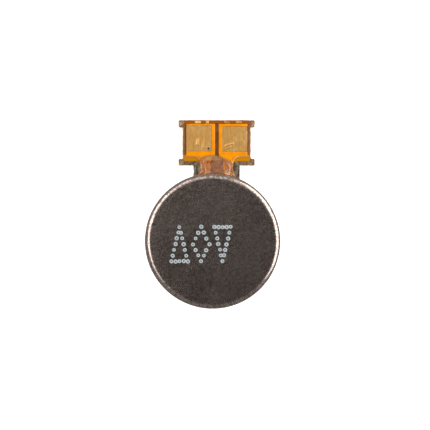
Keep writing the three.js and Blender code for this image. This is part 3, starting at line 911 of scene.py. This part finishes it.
def flex_layers():
    """The adhesive, the base film and the two sides' copper."""
    bottom, top = (corner.z for corner in ADHESIVE_BOX)
    glue = plate("adhesive_sheet", flex_loops(0.03 * MM, COVER_LOW), bottom, top, 0.008 * MM)
    set_up(glue, "stator", "adhesive", [ADHESIVE], "flex_adhesive")
    bottom, top = (corner.z for corner in BASE_FILM_BOX)
    film = plate("base_film_sheet", flex_loops(), bottom, top, 0.01 * MM)
    set_up(film, "stator", "polyimide", [FILM], "flex_base_film")
    bottom, top = (corner.z for corner in COPPER_BOX)
    rows = edge_rows(bottom, top, 0.006 * MM)
    for side, name in ((-1, "left"), (1, "right")):
        loops = [anticlockwise(rounded(copper_corners(side), 0.05 * MM)), *tie_bar_outlines(side)]
        foil = shaded(f"copper_foil_{name}", *(plate_part([loop], rows) for loop in loops))
        set_up(foil, "stator", "copper_foil", [COPPER], f"flex_copper_{name}")


def pad_opening(side):
    """The cover film's opening over a pad, as its inner edge's x, its two ys and its outer edge's x."""
    low, high = PAD_BOXES["left" if side < 0 else "right"]
    gap = 0.012 * MM
    inner = high.x + gap if side < 0 else low.x - gap
    return inner, low.y - gap, high.y + gap, FLEX_X + side * ISLAND_OUTER


def plateau_outline(side):
    """The raised film over one side's copper: the opening for the pad cuts in from the outer side."""
    inner, low, high, outer = pad_opening(side)
    around = copper_corners(side)
    notch = [(outer, low), (inner, low, 0.1 * MM), (inner, high, 0.1 * MM), (outer, high)]
    return anticlockwise(rounded([*around[:-1], *notch, around[-1]], 0.05 * MM))


def cover_film():
    """The cover film: a thin sheet with a sloping cut edge, raised where it lies over copper."""
    bottom, top = (corner.z for corner in COVER_BOX)
    raised = top + COVER_RAISED
    outline, hole = flex_loops(0.01 * MM, COVER_LOW, COVER_HIGH, FLEX_HEAD - COVER_MARGIN, COVER_FILLET)
    openings = []
    for side in (-1, 1):
        inner, low, high, outer = pad_opening(side)
        opening = rectangle(min(inner, outer), max(inner, outer), low, high)
        reach = LAND_HALF + 0.05 * MM
        middle = side * LAND_X
        window = rectangle(middle - reach, middle + reach, LAND_LOW - 0.05 * MM, LAND_HIGH)
        openings += [rounded(opening, 0.05 * MM)[::-1], rounded(window, 0.06 * MM)[::-1]]
    foot = bottom - COPPER_BOX[1].z + COPPER_BOX[0].z
    skirt = edge_strip(outline, [(0.0, foot), (0.4 * COVER_SLOPE, bottom), (COVER_SLOPE, top)])
    sheet = plate_part([inset(outline, COVER_SLOPE), hole, *openings], [(0.0, bottom), (0.0, top)])
    rows = [
        (0.0, top - 0.006 * MM),
        (0.006 * MM, top + 0.004 * MM),
        (0.022 * MM, raised - 0.004 * MM),
        (0.034 * MM, raised),
    ]
    plateaus = [plate_part([plateau_outline(side)], rows) for side in (-1, 1)]
    piece = joined("cover_film_sheet", [sheet, skirt, *plateaus])
    index = [0] * len(sheet[1]) + [1] * len(skirt[1]) + [2] * sum(len(part[1]) for part in plateaus)
    piece.data.polygons.foreach_set("material_index", index)
    return even_shading(piece)


def edge_strip(outline, rows):
    """A closed band along an outline: (inset, height) rows, closed by the last row's foot."""
    rows = [*rows, (rows[-1][0], rows[0][1])]
    count = len(outline)
    vertices = [Vector((*p, z)) for distance, z in rows for p in inset(outline, distance)]
    faces = []
    for r in range(len(rows)):
        faces += band(r * count, (r + 1) % len(rows) * count, count)
    return vertices, faces


flex_layers()
set_up(cover_film(), "stator", "cover_film", [FILM_BARE, FILM_EDGE, FILM_OVER_COPPER], "flex_cover_film")

# ---------------------------------------------------------------- contact pads

PAD_CORNER = 0.08 * MM
PAD_EDGE = 0.006 * MM
PAD_GRID = 90
PINHOLE = (-0.31, 6.85)  # in millimetres, as the scars are
PINHOLE_RADIUS = 0.08 * MM
# Section of the pinhole's dark mouth, a dish of painted shade, as (part of its radius, height in
# millimetres)
PINHOLE_DISH = ((0, -0.008), (1, -0.008), (1, 0.026), (0.7, 0.018), (0, 0.006))
# Wear pressed into the pads, in millimetres: (from, to, half-width, height), a groove where height < 0
PAD_SCARS = {
    "left": (
        ((-1.13, 7.2), (-1.1, 7.5), 0.085, 0.026),
        ((-1.13, 7.2), (-1.07, 8.1), 0.07, 0.006),
        ((-1.42, 8.1), (-1.4, 8.5), 0.04, 0.01),
        ((-0.85, 6.85), (-0.75, 7.5), 0.06, -0.01),
        ((-0.6, 7.0), (-0.5, 8.3), 0.07, 0.006),
        (PINHOLE, PINHOLE, 0.13, 0.022),
        (PINHOLE, PINHOLE, 0.07, -0.036),
    ),
    "right": (
        ((0.85, 6.9), (0.96, 7.06), 0.05, 0.016),
        ((0.96, 7.06), (1.27, 7.15), 0.05, 0.016),
        ((1.27, 7.15), (1.5, 7.22), 0.06, 0.02),
        ((1.3, 7.05), (1.42, 7.09), 0.045, -0.016),
        ((0.9, 6.78), (1.4, 7.02), 0.04, 0.012),
        ((1.5, 7.1), (1.47, 7.4), 0.06, 0.012),
        ((2.03, 7.9), (2.43, 7.15), 0.04, 0.009),
        ((1.95, 8.1), (2.2, 7.6), 0.05, -0.005),
        ((2.53, 7.25), (2.54, 8.1), 0.03, 0.008),
    ),
}


def pad_relief(side, place):
    """How far a pad's surface stands off its plane: slow waves from the pressing, and scars."""
    sample = Vector((place.x, place.y * 0.5, 0)) * TO_MM
    height = 0.005 * noise.noise(sample * 2.0) + 0.002 * noise.noise(sample * 7.0)
    here = place.to_2d() * TO_MM
    for start, end, half_width, lift in PAD_SCARS[side]:
        start, end = Vector(start), Vector(end)
        along = end - start
        t = min(max((here - start).dot(along) / max(along.length_squared, 1e-9), 0), 1)
        away = (here - start - along * t).length / half_width
        height += lift * math.exp(-away * away)
    return height * MM


def gold_pad(side):
    """A pad as a fine grid, so that its wear can be pressed into it."""
    low, high = PAD_BOXES[side]
    half, middle = (high - low) / 2, (high + low) / 2
    vertices, faces = [], []

    def on_pad(u, v, shrink):
        """The place at -1 to 1 across and along the pad, drawn in where its corners are round."""
        x, y = u * (half.x - shrink), v * (half.y - shrink)
        cx, cy = half.x - shrink - PAD_CORNER, half.y - shrink - PAD_CORNER
        if abs(x) > cx and abs(y) > cy:
            a, b = (abs(x) - cx) / PAD_CORNER, (abs(y) - cy) / PAD_CORNER
            x = math.copysign(cx + PAD_CORNER * a * math.sqrt(1 - b * b / 2), x)
            y = math.copysign(cy + PAD_CORNER * b * math.sqrt(1 - a * a / 2), y)
        return Vector((middle.x + x, middle.y + y, 0))

    span = [2 * k / PAD_GRID - 1 for k in range(PAD_GRID + 1)]
    row = PAD_GRID + 1
    for j, v in enumerate(span):
        for i, u in enumerate(span):
            place = on_pad(u, v, PAD_EDGE)
            place.z = high.z + pad_relief(side, place)
            vertices.append(place)
            if i < PAD_GRID and j < PAD_GRID:
                a = j * row + i
                faces.append([a, a + 1, a + row + 1, a + row])
    steps = range(PAD_GRID)
    rim = [(i, 0) for i in steps] + [(PAD_GRID, j) for j in steps]
    rim += [(PAD_GRID - i, PAD_GRID) for i in steps] + [(0, PAD_GRID - j) for j in steps]
    before = [j * row + i for i, j in rim]
    for shrink, z in ((0.3 * PAD_EDGE, high.z - 0.3 * PAD_EDGE), (0, high.z - PAD_EDGE), (0, low.z)):
        start = len(vertices)
        for i, j in rim:
            place = on_pad(span[i], span[j], shrink)
            place.z = z
            vertices.append(place)
        for k in range(len(rim)):
            after = (k + 1) % len(rim)
            faces.append([start + k, start + after, before[after], before[k]])
        before = [start + k for k in range(len(rim))]
    faces.append(before[::-1])
    return even_shading(mesh_object(f"gold_pad_{side}", vertices, faces))


def pinhole():
    """The dark mouth of the hole that a test probe left in the left pad: a dish of painted shade in its pit.
    """
    place = Vector((*PINHOLE, 0)) * MM
    place.z = PAD_BOXES["left"][1].z + pad_relief("left", place)
    dish = turned_solid([(r * PINHOLE_RADIUS, h * MM) for r, h in PINHOLE_DISH], 24)
    return joined("probe_pinhole", [moved(dish, place)])


for side in ("left", "right"):
    set_up(gold_pad(side), "stator", "gold_plating", [GOLD], f"contact_pad_{side}")
set_up(pinhole(), "stator", "gold_plating", [PINHOLE_SHADE])

# ---------------------------------------------------------------- resin bead

# Its edge in millimetres as (x, distance from the case wall), from the wall on the right round to the left
SEAL_EDGE = (
    (1.75, 0.0), (1.61, 0.3), (1.54, 0.55), (1.53, 0.9), (1.35, 1.1), (1.1, 1.23), (0.75, 1.31),
    (0.35, 1.37), (-0.1, 1.4), (-0.5, 1.37), (-0.78, 1.29), (-0.93, 1.12), (-0.93, 0.92),
    (-0.85, 0.7), (-0.86, 0.4), (-1.0, 0.17), (-1.2, 0.0),
)
SEAL_HEIGHT = 0.72 * MM  # against the wall
SEAL_FRONT = 0.4 * MM  # height of its flat front part
SEAL_CLIMB = 0.45 * MM  # how far from the wall it starts to climb
SEAL_ROUND = 0.5 * MM  # how wide its rounded edge is
SEAL_RINGS = 44
# Bubbles that burst in its skin, in millimetres: (x, y, radius, depth)
SEAL_DENTS = (
    (0.49, 5.84, 0.05, 0.04),
    (0.65, 5.6, 0.07, 0.05),
    (0.27, 5.15, 0.06, 0.04),
    (1.09, 5.15, 0.06, 0.07),
)


def bead_point(across, distance, t, level=None):
    """A point of the bead, t of the way to an edge point (across, distance), on its skin or at a level."""
    x = TAIL_X + across * t
    y = math.sqrt((CASE_RADIUS + 0.002 * MM) ** 2 - x * x) + distance * t
    if level:
        return Vector((x, y, level))
    bottom = SHEET + 0.004 * MM
    to_edge = min(1, (1 - t) * math.hypot(across, distance) / SEAL_ROUND)
    rounding = (1 - (1 - to_edge) ** 2.2) ** 0.5
    climb = (SEAL_HEIGHT - SEAL_FRONT) * math.exp(-distance * t / SEAL_CLIMB)
    arch = 1 - 0.6 * (across * t / (1.5 * MM)) ** 2
    lumps = 1 + 0.08 * noise.noise(Vector((x, y, 0)) * TO_MM * 2.1)
    height = SEAL_BOX[0].z - bottom + (SEAL_FRONT + climb * arch) * lumps
    for dent_x, dent_y, radius, depth in SEAL_DENTS:
        away = math.hypot(x - dent_x * MM, y - dent_y * MM) / (radius * MM)
        height -= depth * MM * math.exp(-away * away)
    return Vector((x, y, bottom + height * rounding))


def seal_bead():
    """A meniscus of resin: it climbs the case wall and ends in a low front with a rounded edge."""
    edge = smooth_curve([Vector(p) * MM for p in SEAL_EDGE], 8)
    edge = [(p.x - TAIL_X, p.y) for p in edge]
    bottom = SHEET + 0.004 * MM  # it wets the base plate beside the film
    count = len(edge)
    spread = [1 - (1 - r / SEAL_RINGS) ** 1.9 for r in range(1, SEAL_RINGS + 1)]
    vertices = [bead_point(*edge[0], 0)]
    vertices += [bead_point(*p, t) for t in spread for p in edge]
    foot = len(vertices)
    vertices.append(bead_point(*edge[0], 0, bottom))
    vertices += [bead_point(*p, t, bottom) for t in spread[:-1] for p in edge]

    def over(r, k):
        return 0 if r == 0 else 1 + (r - 1) * count + k

    def under(r, k):
        return over(r, k) if r == SEAL_RINGS else foot + over(r, k)

    faces = []
    for k in range(count - 1):
        faces.append([over(0, 0), over(1, k), over(1, k + 1)])
        faces.append([under(0, 0), under(1, k + 1), under(1, k)])
        for r in range(1, SEAL_RINGS):
            faces.append([over(r, k), over(r + 1, k), over(r + 1, k + 1), over(r, k + 1)])
            faces.append([under(r, k + 1), under(r + 1, k + 1), under(r + 1, k), under(r, k)])
    for k, flip in ((0, False), (count - 1, True)):
        for r in range(SEAL_RINGS):
            face = list(dict.fromkeys((over(r, k), under(r, k), under(r + 1, k), over(r + 1, k))))
            faces.append(face[::-1] if flip else face)
    return mesh_object("seal_bead", vertices, faces)


set_up(seal_bead(), "stator", "seal_resin", [RESIN], "tail_seal")

# ---------------------------------------------------------------- shaft, magnet, washers, bearing

MAGNET_BORE = 2.3 * MM
BEARING_BORE = 0.42 * MM


def shaft_pin():
    """The ground pin, with a small chamfer below and a rounded end on top."""
    low, high = (corner.z for corner in SHAFT_BOX)
    chamfer, edge = 0.02 * MM, 0.05 * MM
    profile = [(0, low), (SHAFT_RADIUS - chamfer, low), (SHAFT_RADIUS, low + chamfer)]
    profile += [(SHAFT_RADIUS, low + (high - low) * k / 6) for k in range(1, 6)]
    profile += [(SHAFT_RADIUS - edge + p.x, high - edge + p.y) for p in arc(edge, 0, 90, 5)]
    return shaded("shaft_pin", turned_solid([*profile, (0, high)], 96))


def shaft_weld():
    """A ring of weld that ties the shaft's end to the base plate, ground nearly flush."""
    inner, outer = SHAFT_RADIUS - 0.05 * MM, SHAFT_RADIUS + 0.07 * MM
    part = lathe_part(ring_profile(inner, outer, -0.004 * MM, 0.03 * MM, 0.008 * MM), 96)
    for v in part[0]:
        heading = Vector((v.x, v.y, 0)).normalized()
        ripple = 0.02 * math.sin(22 * math.atan2(v.y, v.x))
        swing = 1 + ripple + 0.015 * noise.noise(heading * 5)
        v.x *= swing
        v.y *= swing
    return joined("shaft_weld", [part])


def ring_piece(name, node, inner, edge):
    low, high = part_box(node)
    return shaded(name, lathe_part(ring_profile(inner, high.x, low.z, high.z, edge)))


set_up(shaft_pin(), "stator", "shaft_steel", [STEEL_SHAFT], "shaft")
set_up(shaft_weld(), "stator", "base_steel", [WELD])
magnet = ring_piece("magnet_ring", "ring_magnet", MAGNET_BORE, 0.07 * MM)
set_up(magnet, "stator", "magnet", [MAGNET], "ring_magnet")
for node in ("lower_washer", "upper_washer"):
    washer = ring_piece(f"{node}_film", node, BEARING_BORE, 0.012 * MM)
    set_up(washer, "stator", "washer_film", [WASHER], node)
bush = ring_piece("bearing_bush", "bearing", BEARING_BORE, 0.05 * MM)
set_up(bush, "rotor", "sintered_bronze", [BRONZE], "bearing")

# ---------------------------------------------------------------- brushes and solder

LEAF_THICKNESS = 0.06 * MM
LEAF_GAP = 0.1 * MM  # between its two tines
FORK_FROM = 0.1 * MM  # y at which the tines part


def brush_leaf(name):
    """A forked leaf spring: a flat foot, a rising arm, and tips curled where they slide."""
    low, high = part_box(f"brush_{name}")
    foot, contact = low.z + LEAF_THICKNESS / 2, high.z - LEAF_THICKNESS / 2
    rise = contact - foot
    # its side view: y in millimetres, and height
    bends = [(-1.62, foot), (-1.3, foot), (-0.98, foot), (-0.8, foot + 0.04 * MM)]
    bends += [(0.1, foot + 0.42 * rise)]
    bends += [(0.72, contact - 0.06 * MM), (0.94, contact), (1.16, contact - 0.08 * MM)]
    path = smooth_curve([(0, y * MM, z) for y, z in bends], 8)
    fork = next(i for i, p in enumerate(path) if p.y > FORK_FROM)
    tine = (high.x - low.x - LEAF_GAP) / 2
    arm, tips = path[: fork + 1], path[fork - 1 :]
    strips = ((tips, low.x, low.x + tine), (tips, high.x - tine, high.x), (arm, low.x, high.x))
    parts = []
    for along, x0, x1 in strips:
        section = rounded(
            rectangle(x0, x1, -LEAF_THICKNESS / 2, LEAF_THICKNESS / 2), LEAF_THICKNESS / 4, 2
        )
        parts.append(sweep_part(along, section))
    return shaded(f"brush_leaf_{name}", *parts)


def drop_part(radius, height, sides=28, steps=8):
    """A drop of solder with a thin foot that wets the surface."""
    profile = [(0, 0), (radius, 0)]
    for k in range(1, steps):
        t = k / steps
        reach = (1 - 0.12 * math.sin(math.pi * t)) * math.cos(t * math.pi / 2)
        profile.append((radius * reach, height * math.sin(t * math.pi / 2) ** 1.15))
    return turned_solid([*profile, (0, height)], sides)


def solder_joint(name, body, node):
    low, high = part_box(node)
    middle = (low + high) / 2
    drop = moved(drop_part((high.x - low.x) / 2, high.z - low.z), (middle.x, middle.y, low.z))
    set_up(joined(name, [drop]), body, "solder", [SOLDER], node)


for name in ("left", "right"):
    set_up(brush_leaf(name), "stator", "brush_alloy", [BRUSH], f"brush_{name}")
    solder_joint(f"brush_joint_{name}", "stator", f"brush_solder_{name}")

# ---------------------------------------------------------------- rotor

ROTOR_HEADING = -90
BOARD_TOP = BOARD_BOX[1].z
BUSH_HOLE = circle(BEARING_BOX[1].x + 0.005 * MM, sides=96, clockwise=True)
COIL_RADIUS = 1.45 * MM
COIL_CORE = 0.45 * MM
COIL_ORBIT = 2.88 * MM
COIL_ANGLE = 50
COIL_FIT = 0.005 * MM
COIL_CENTRES = {
    name: polar(COIL_ORBIT, ROTOR_HEADING + turn)
    for name, turn in (("left", -COIL_ANGLE), ("right", COIL_ANGLE))
}
WIRE_PITCH = 0.074 * MM
WIRE_DEPTH = 0.018 * MM
LEAD_RADIUS = 0.026 * MM
LEAD_ANGLES = {"left": (156, 112), "right": (24, 68)}  # of the leads' solder joints
JOINT_ORBIT = 1.66 * MM
WEIGHT_INNER = 1.55 * MM
WEIGHT_OUTER = 4.35 * MM
WEIGHT_HALF_ANGLE = 38
MOULD_FLOOR = 0.1 * MM
COMMUTATOR_INNER = 0.98 * MM
COMMUTATOR_OUTER = 1.85 * MM
SEGMENTS = 6
SEGMENT_GAP = 7  # degrees


def half_round(radius, hub, half_angle):
    """The rotor's outline: a sector of one radius, closed by a hub."""
    start, end = ROTOR_HEADING - half_angle, ROTOR_HEADING + half_angle
    return [*arc(radius, start, end, 96), *arc(hub, end, start + 360, 72)]


def rotor_board():
    low, high = BOARD_BOX
    outline = half_round(-low.y, 1.95 * MM, 92)
    return plate("rotor_circuit_board", [outline, BUSH_HOLE], low.z, high.z, 0.012 * MM)


def board_traces():
    """Copper runs on the board's upper face, from each lead's solder towards the next one's."""
    parts = []
    rows = edge_rows(BOARD_TOP - 0.002 * MM, BOARD_TOP + 0.004 * MM, 0.002 * MM, 1)
    for angle in sorted((*LEAD_ANGLES["left"], *LEAD_ANGLES["right"])):
        parts.append(plate_part([circle(0.21 * MM, polar(JOINT_ORBIT, angle), 32)], rows))
        run = arc(1.45 * MM, angle, angle + 26, 10) + arc(1.37 * MM, angle + 26, angle, 10)
        parts.append(plate_part([run], rows))
    return joined("board_traces", parts)


def weight_outline(grow):
    """The counterweight from above: a sector that makes room for the coils."""
    reach = WEIGHT_HALF_ANGLE + math.degrees(grow / WEIGHT_INNER)
    start, end = ROTOR_HEADING - reach, ROTOR_HEADING + reach
    sector = arc(WEIGHT_OUTER + grow, start, end, 60) + arc(WEIGHT_INNER - grow, end, start, 24)
    clear = COIL_RADIUS + 0.15 * MM - grow
    outline = []
    for p in divided(sector, 0.05 * MM):
        for centre in COIL_CENTRES.values():
            away = p - centre
            if away.length < clear:
                p = centre + away.normalized() * clear
        outline.append(p)
    return anticlockwise(divided(uncrowded(outline), 0.06 * MM))


def rotor_body():
    """The moulding: a floor on the board, walls round two coils and the weight, and the coils' posts."""
    low, high = MOULD_BOX
    outline = half_round(-low.y, 1.36 * MM, 93)
    floor_top = low.z + MOULD_FLOOR
    floor = plate_part([outline, BUSH_HOLE], edge_rows(low.z, floor_top, 0.01 * MM, 2))
    pockets = [circle(COIL_RADIUS + COIL_FIT, c, 96, True) for c in COIL_CENTRES.values()]
    pockets.append(weight_outline(0.005 * MM)[::-1])
    bottom = floor_top - 0.01 * MM
    walls = plate_part([outline, BUSH_HOLE, *pockets], edge_rows(bottom, high.z, 0.012 * MM, 2))
    rows = edge_rows(bottom, high.z, 0.02 * MM, 3)
    posts = [plate_part([circle(COIL_CORE - COIL_FIT, c, 64)], rows) for c in COIL_CENTRES.values()]
    return shaded("rotor_moulding", floor, walls, *posts)


def wire_ridges(start, end, count, out):
    """A row of wires seen from outside: profile points that bulge between grooves."""
    points = []
    for i in range(count):
        for k in (0.0, 0.2, 0.5, 0.8):
            sink = WIRE_DEPTH * (1 - math.sin(math.pi * k))
            points.append(Vector(start).lerp(Vector(end), (i + k) / count) - Vector(out) * sink)
    return points


def coil_winding(name):
    """A self-bonded winding: every visible face shows the wire's turns."""
    low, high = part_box(f"coil_{name}")
    corners = rectangle(COIL_CORE, COIL_RADIUS, low.z, high.z)
    turns = round((COIL_RADIUS - COIL_CORE) / WIRE_PITCH)
    layers = round((high.z - low.z) / WIRE_PITCH)
    profile = []
    for k, out in enumerate(((0, -1), (1, 0), (0, 1), (-1, 0))):
        profile += wire_ridges(corners[k], corners[(k + 1) % 4], layers if k % 2 else turns, out)
    return joined(f"coil_winding_{name}", [lathe_part(profile, 96, COIL_CENTRES[name])])


def coil_leads(name):
    """Two fine leads from a coil's top, round the hub, down to their solder joints."""
    centre = COIL_CENTRES[name]
    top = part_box(f"coil_{name}")[1].z + 0.03 * MM
    side = 1 if centre.x > 0 else -1
    parts = []
    for k, angle in enumerate(LEAD_ANGLES[name]):
        joint = polar(JOINT_ORBIT, angle)
        start = centre + Vector((side * (-0.3 + 0.5 * k), 0.9)) * MM
        bend = Vector((side * (1.9 + 0.25 * k), -0.2 + 0.15 * k)) * MM
        before_joint = bend.lerp(joint, 0.5) + Vector((0, 0.1)) * MM
        route = [
            (*start, top),
            (*start.lerp(bend, 0.5), top + 0.02 * MM),
            (*bend, BOARD_TOP + 0.32 * MM),
            (*before_joint, BOARD_TOP + 0.12 * MM),
            (*joint, BOARD_TOP + 0.06 * MM),
        ]
        parts.append(sweep_part(smooth_curve(route, 8), circle(LEAD_RADIUS, sides=8)))
    return joined(f"coil_leads_{name}", parts)


def counterweight():
    low, high = WEIGHT_BOX
    return plate("tungsten_weight", [weight_outline(0)], low.z, high.z, 0.03 * MM)


def commutator_bar(number):
    low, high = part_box(f"commutator_segment_{number}")
    pitch = 360 / SEGMENTS
    start, end = pitch * (number - 1) + SEGMENT_GAP / 2, pitch * number - SEGMENT_GAP / 2
    outline = [*arc(COMMUTATOR_OUTER, start, end, 24), *arc(COMMUTATOR_INNER, end, start, 16)]
    return plate(f"commutator_bar_{number}", [outline], low.z, high.z, 0.006 * MM, 2)


set_up(rotor_board(), "rotor", "board", [BOARD], "rotor_board")
set_up(board_traces(), "rotor", "gold_plating", [GOLD_BRIGHT])
set_up(rotor_body(), "rotor", "mould_plastic", [MOULD], "rotor_mould")
set_up(counterweight(), "rotor", "tungsten", [TUNGSTEN], "counterweight")
for name in COIL_CENTRES:
    set_up(coil_winding(name), "rotor", "enamelled_wire", [WIRE], f"coil_{name}")
    set_up(coil_leads(name), "rotor", "enamelled_wire", [WIRE])
for number in range(1, SEGMENTS + 1):
    segment = f"commutator_segment_{number}"
    set_up(commutator_bar(number), "rotor", "gold_plating", [GOLD_BRIGHT], segment)
for number in range(1, 5):
    solder_joint(f"lead_joint_{number}", "rotor", f"coil_solder_{number}")

# ---------------------------------------------------------------- studio

# The table as (radius, height) rings in metres: level, and turned up at its far edge to hide the horizon
FLOOR_RINGS = ((0.5, 0.0), (0.57, 0.006), (0.63, 0.03))
FLOOR_SIDES = 64
CAMERA_HEIGHT = 0.352
LENS = 400
SENSOR = 36
VIEW_CENTRE = (0.18 * MM, 1.92 * MM)
DARK_LEAN = 10  # degrees by which the middle of the dark patch leans towards -Y
# The sky's brightness by the cosine of the angle to the dark patch's middle, and its rise towards +Y
SKY_STOPS = ((0.0, 0.42), (0.86, 0.42), (0.94, 0.1), (1.0, 0.02))
SKY_TILT = 0.3
# name, (azimuth, elevation) in degrees, distance, size, radiance, roll in degrees
SOFT_BOXES = (
    ("right box", (17, 27), 0.3, (0.53, 0.24), 4.4, 0),
    ("left box", (168, 47), 0.3, (0.3, 0.14), 4.4, 40),
    ("low box", (126, 38), 0.3, (0.2, 0.12), 1.8, 0),
    ("near box", (90, 50), 0.035, (0.044, 0.024), 0.5, 0),
)


def studio_floor():
    vertices = [Vector((0, 0, 0))]
    faces = fan(0, 1, FLOOR_SIDES)
    for radius, height in FLOOR_RINGS:
        vertices += [Vector((*p, height)) for p in circle(radius, sides=FLOOR_SIDES)]
    for ring in range(len(FLOOR_RINGS) - 1):
        faces += band(1 + ring * FLOOR_SIDES, 1 + (ring + 1) * FLOOR_SIDES, FLOOR_SIDES, flip=True)
    floor = mesh_object("studio_floor", vertices, faces)
    floor.location.z = -0.005 * MM
    floor.data.materials.append(floor_material())
    floor.visible_glossy = False
    floor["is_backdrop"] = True


def soft_box(name, direction, distance, size, radiance, roll):
    """A lamp that faces the object from a direction; roll turns it on its axis."""
    azimuth, elevation = direction
    level = polar(math.cos(math.radians(elevation)), azimuth)
    away = Vector((*level, math.sin(math.radians(elevation))))
    lamp = bpy.data.lights.new(name, "AREA")
    lamp.shape = "RECTANGLE"
    lamp.size, lamp.size_y = size
    lamp.energy = radiance * math.pi * size[0] * size[1]
    holder = bpy.data.objects.new(name, lamp)
    holder.location = away * distance
    holder.rotation_mode = "QUATERNION"
    facing = away.to_track_quat("Z", "Y")
    holder.rotation_quaternion = facing @ Quaternion((0, 0, 1), math.radians(roll))
    holder.visible_camera = False
    bpy.context.scene.collection.objects.link(holder)


def sky():
    """A dim room with a dark patch overhead, where the camera hangs, a little to this side of the top."""
    world = bpy.data.worlds.new("studio")
    bpy.context.scene.world = world
    world.use_nodes = True
    graph = Graph(world.node_tree)
    heading = graph.node("ShaderNodeTexCoord").outputs["Generated"]
    lean = math.radians(DARK_LEAN)
    middle = (0, -math.sin(lean), math.cos(lean))
    nearness = graph.node("ShaderNodeVectorMath", {"operation": "DOT_PRODUCT"}, _0=heading, _1=middle)
    ramp = graph.node("ShaderNodeValToRGB", _0=nearness.outputs["Value"])
    stops = ramp.color_ramp.elements
    while len(stops) < len(SKY_STOPS):
        stops.new(0.5)
    for stop, (place, level) in zip(stops, SKY_STOPS):
        stop.position = place
        stop.color = (level, level, level, 1)
    towards_y = graph.node("ShaderNodeSeparateXYZ", _0=heading).outputs["Y"]
    tilt = graph.node("ShaderNodeMath", {"operation": "MULTIPLY_ADD"}, _0=towards_y, _1=SKY_TILT, _2=1.0)
    background = graph.nodes["Background"].inputs
    graph.links.new(ramp.outputs[0], background["Color"])
    graph.links.new(tilt.outputs[0], background["Strength"])


def camera():
    """A camera straight above, as far off and as narrow as the view needs."""
    lens = bpy.data.cameras.new("camera")
    lens.lens = LENS
    lens.sensor_width = SENSOR
    lens.clip_start = 1 * MM
    holder = bpy.data.objects.new("camera", lens)
    holder.location = (*VIEW_CENTRE, CASE_TOP + CAMERA_HEIGHT)
    bpy.context.scene.collection.objects.link(holder)
    bpy.context.scene.camera = holder


bpy.context.scene.view_settings.view_transform = "Standard"
studio_floor()
sky()
for box in SOFT_BOXES:
    soft_box(*box)
camera()

visual_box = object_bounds()
boxes = {"cad": cad_box, "visual": visual_box}
{name: [list(corner) for corner in box] for name, box in boxes.items()}
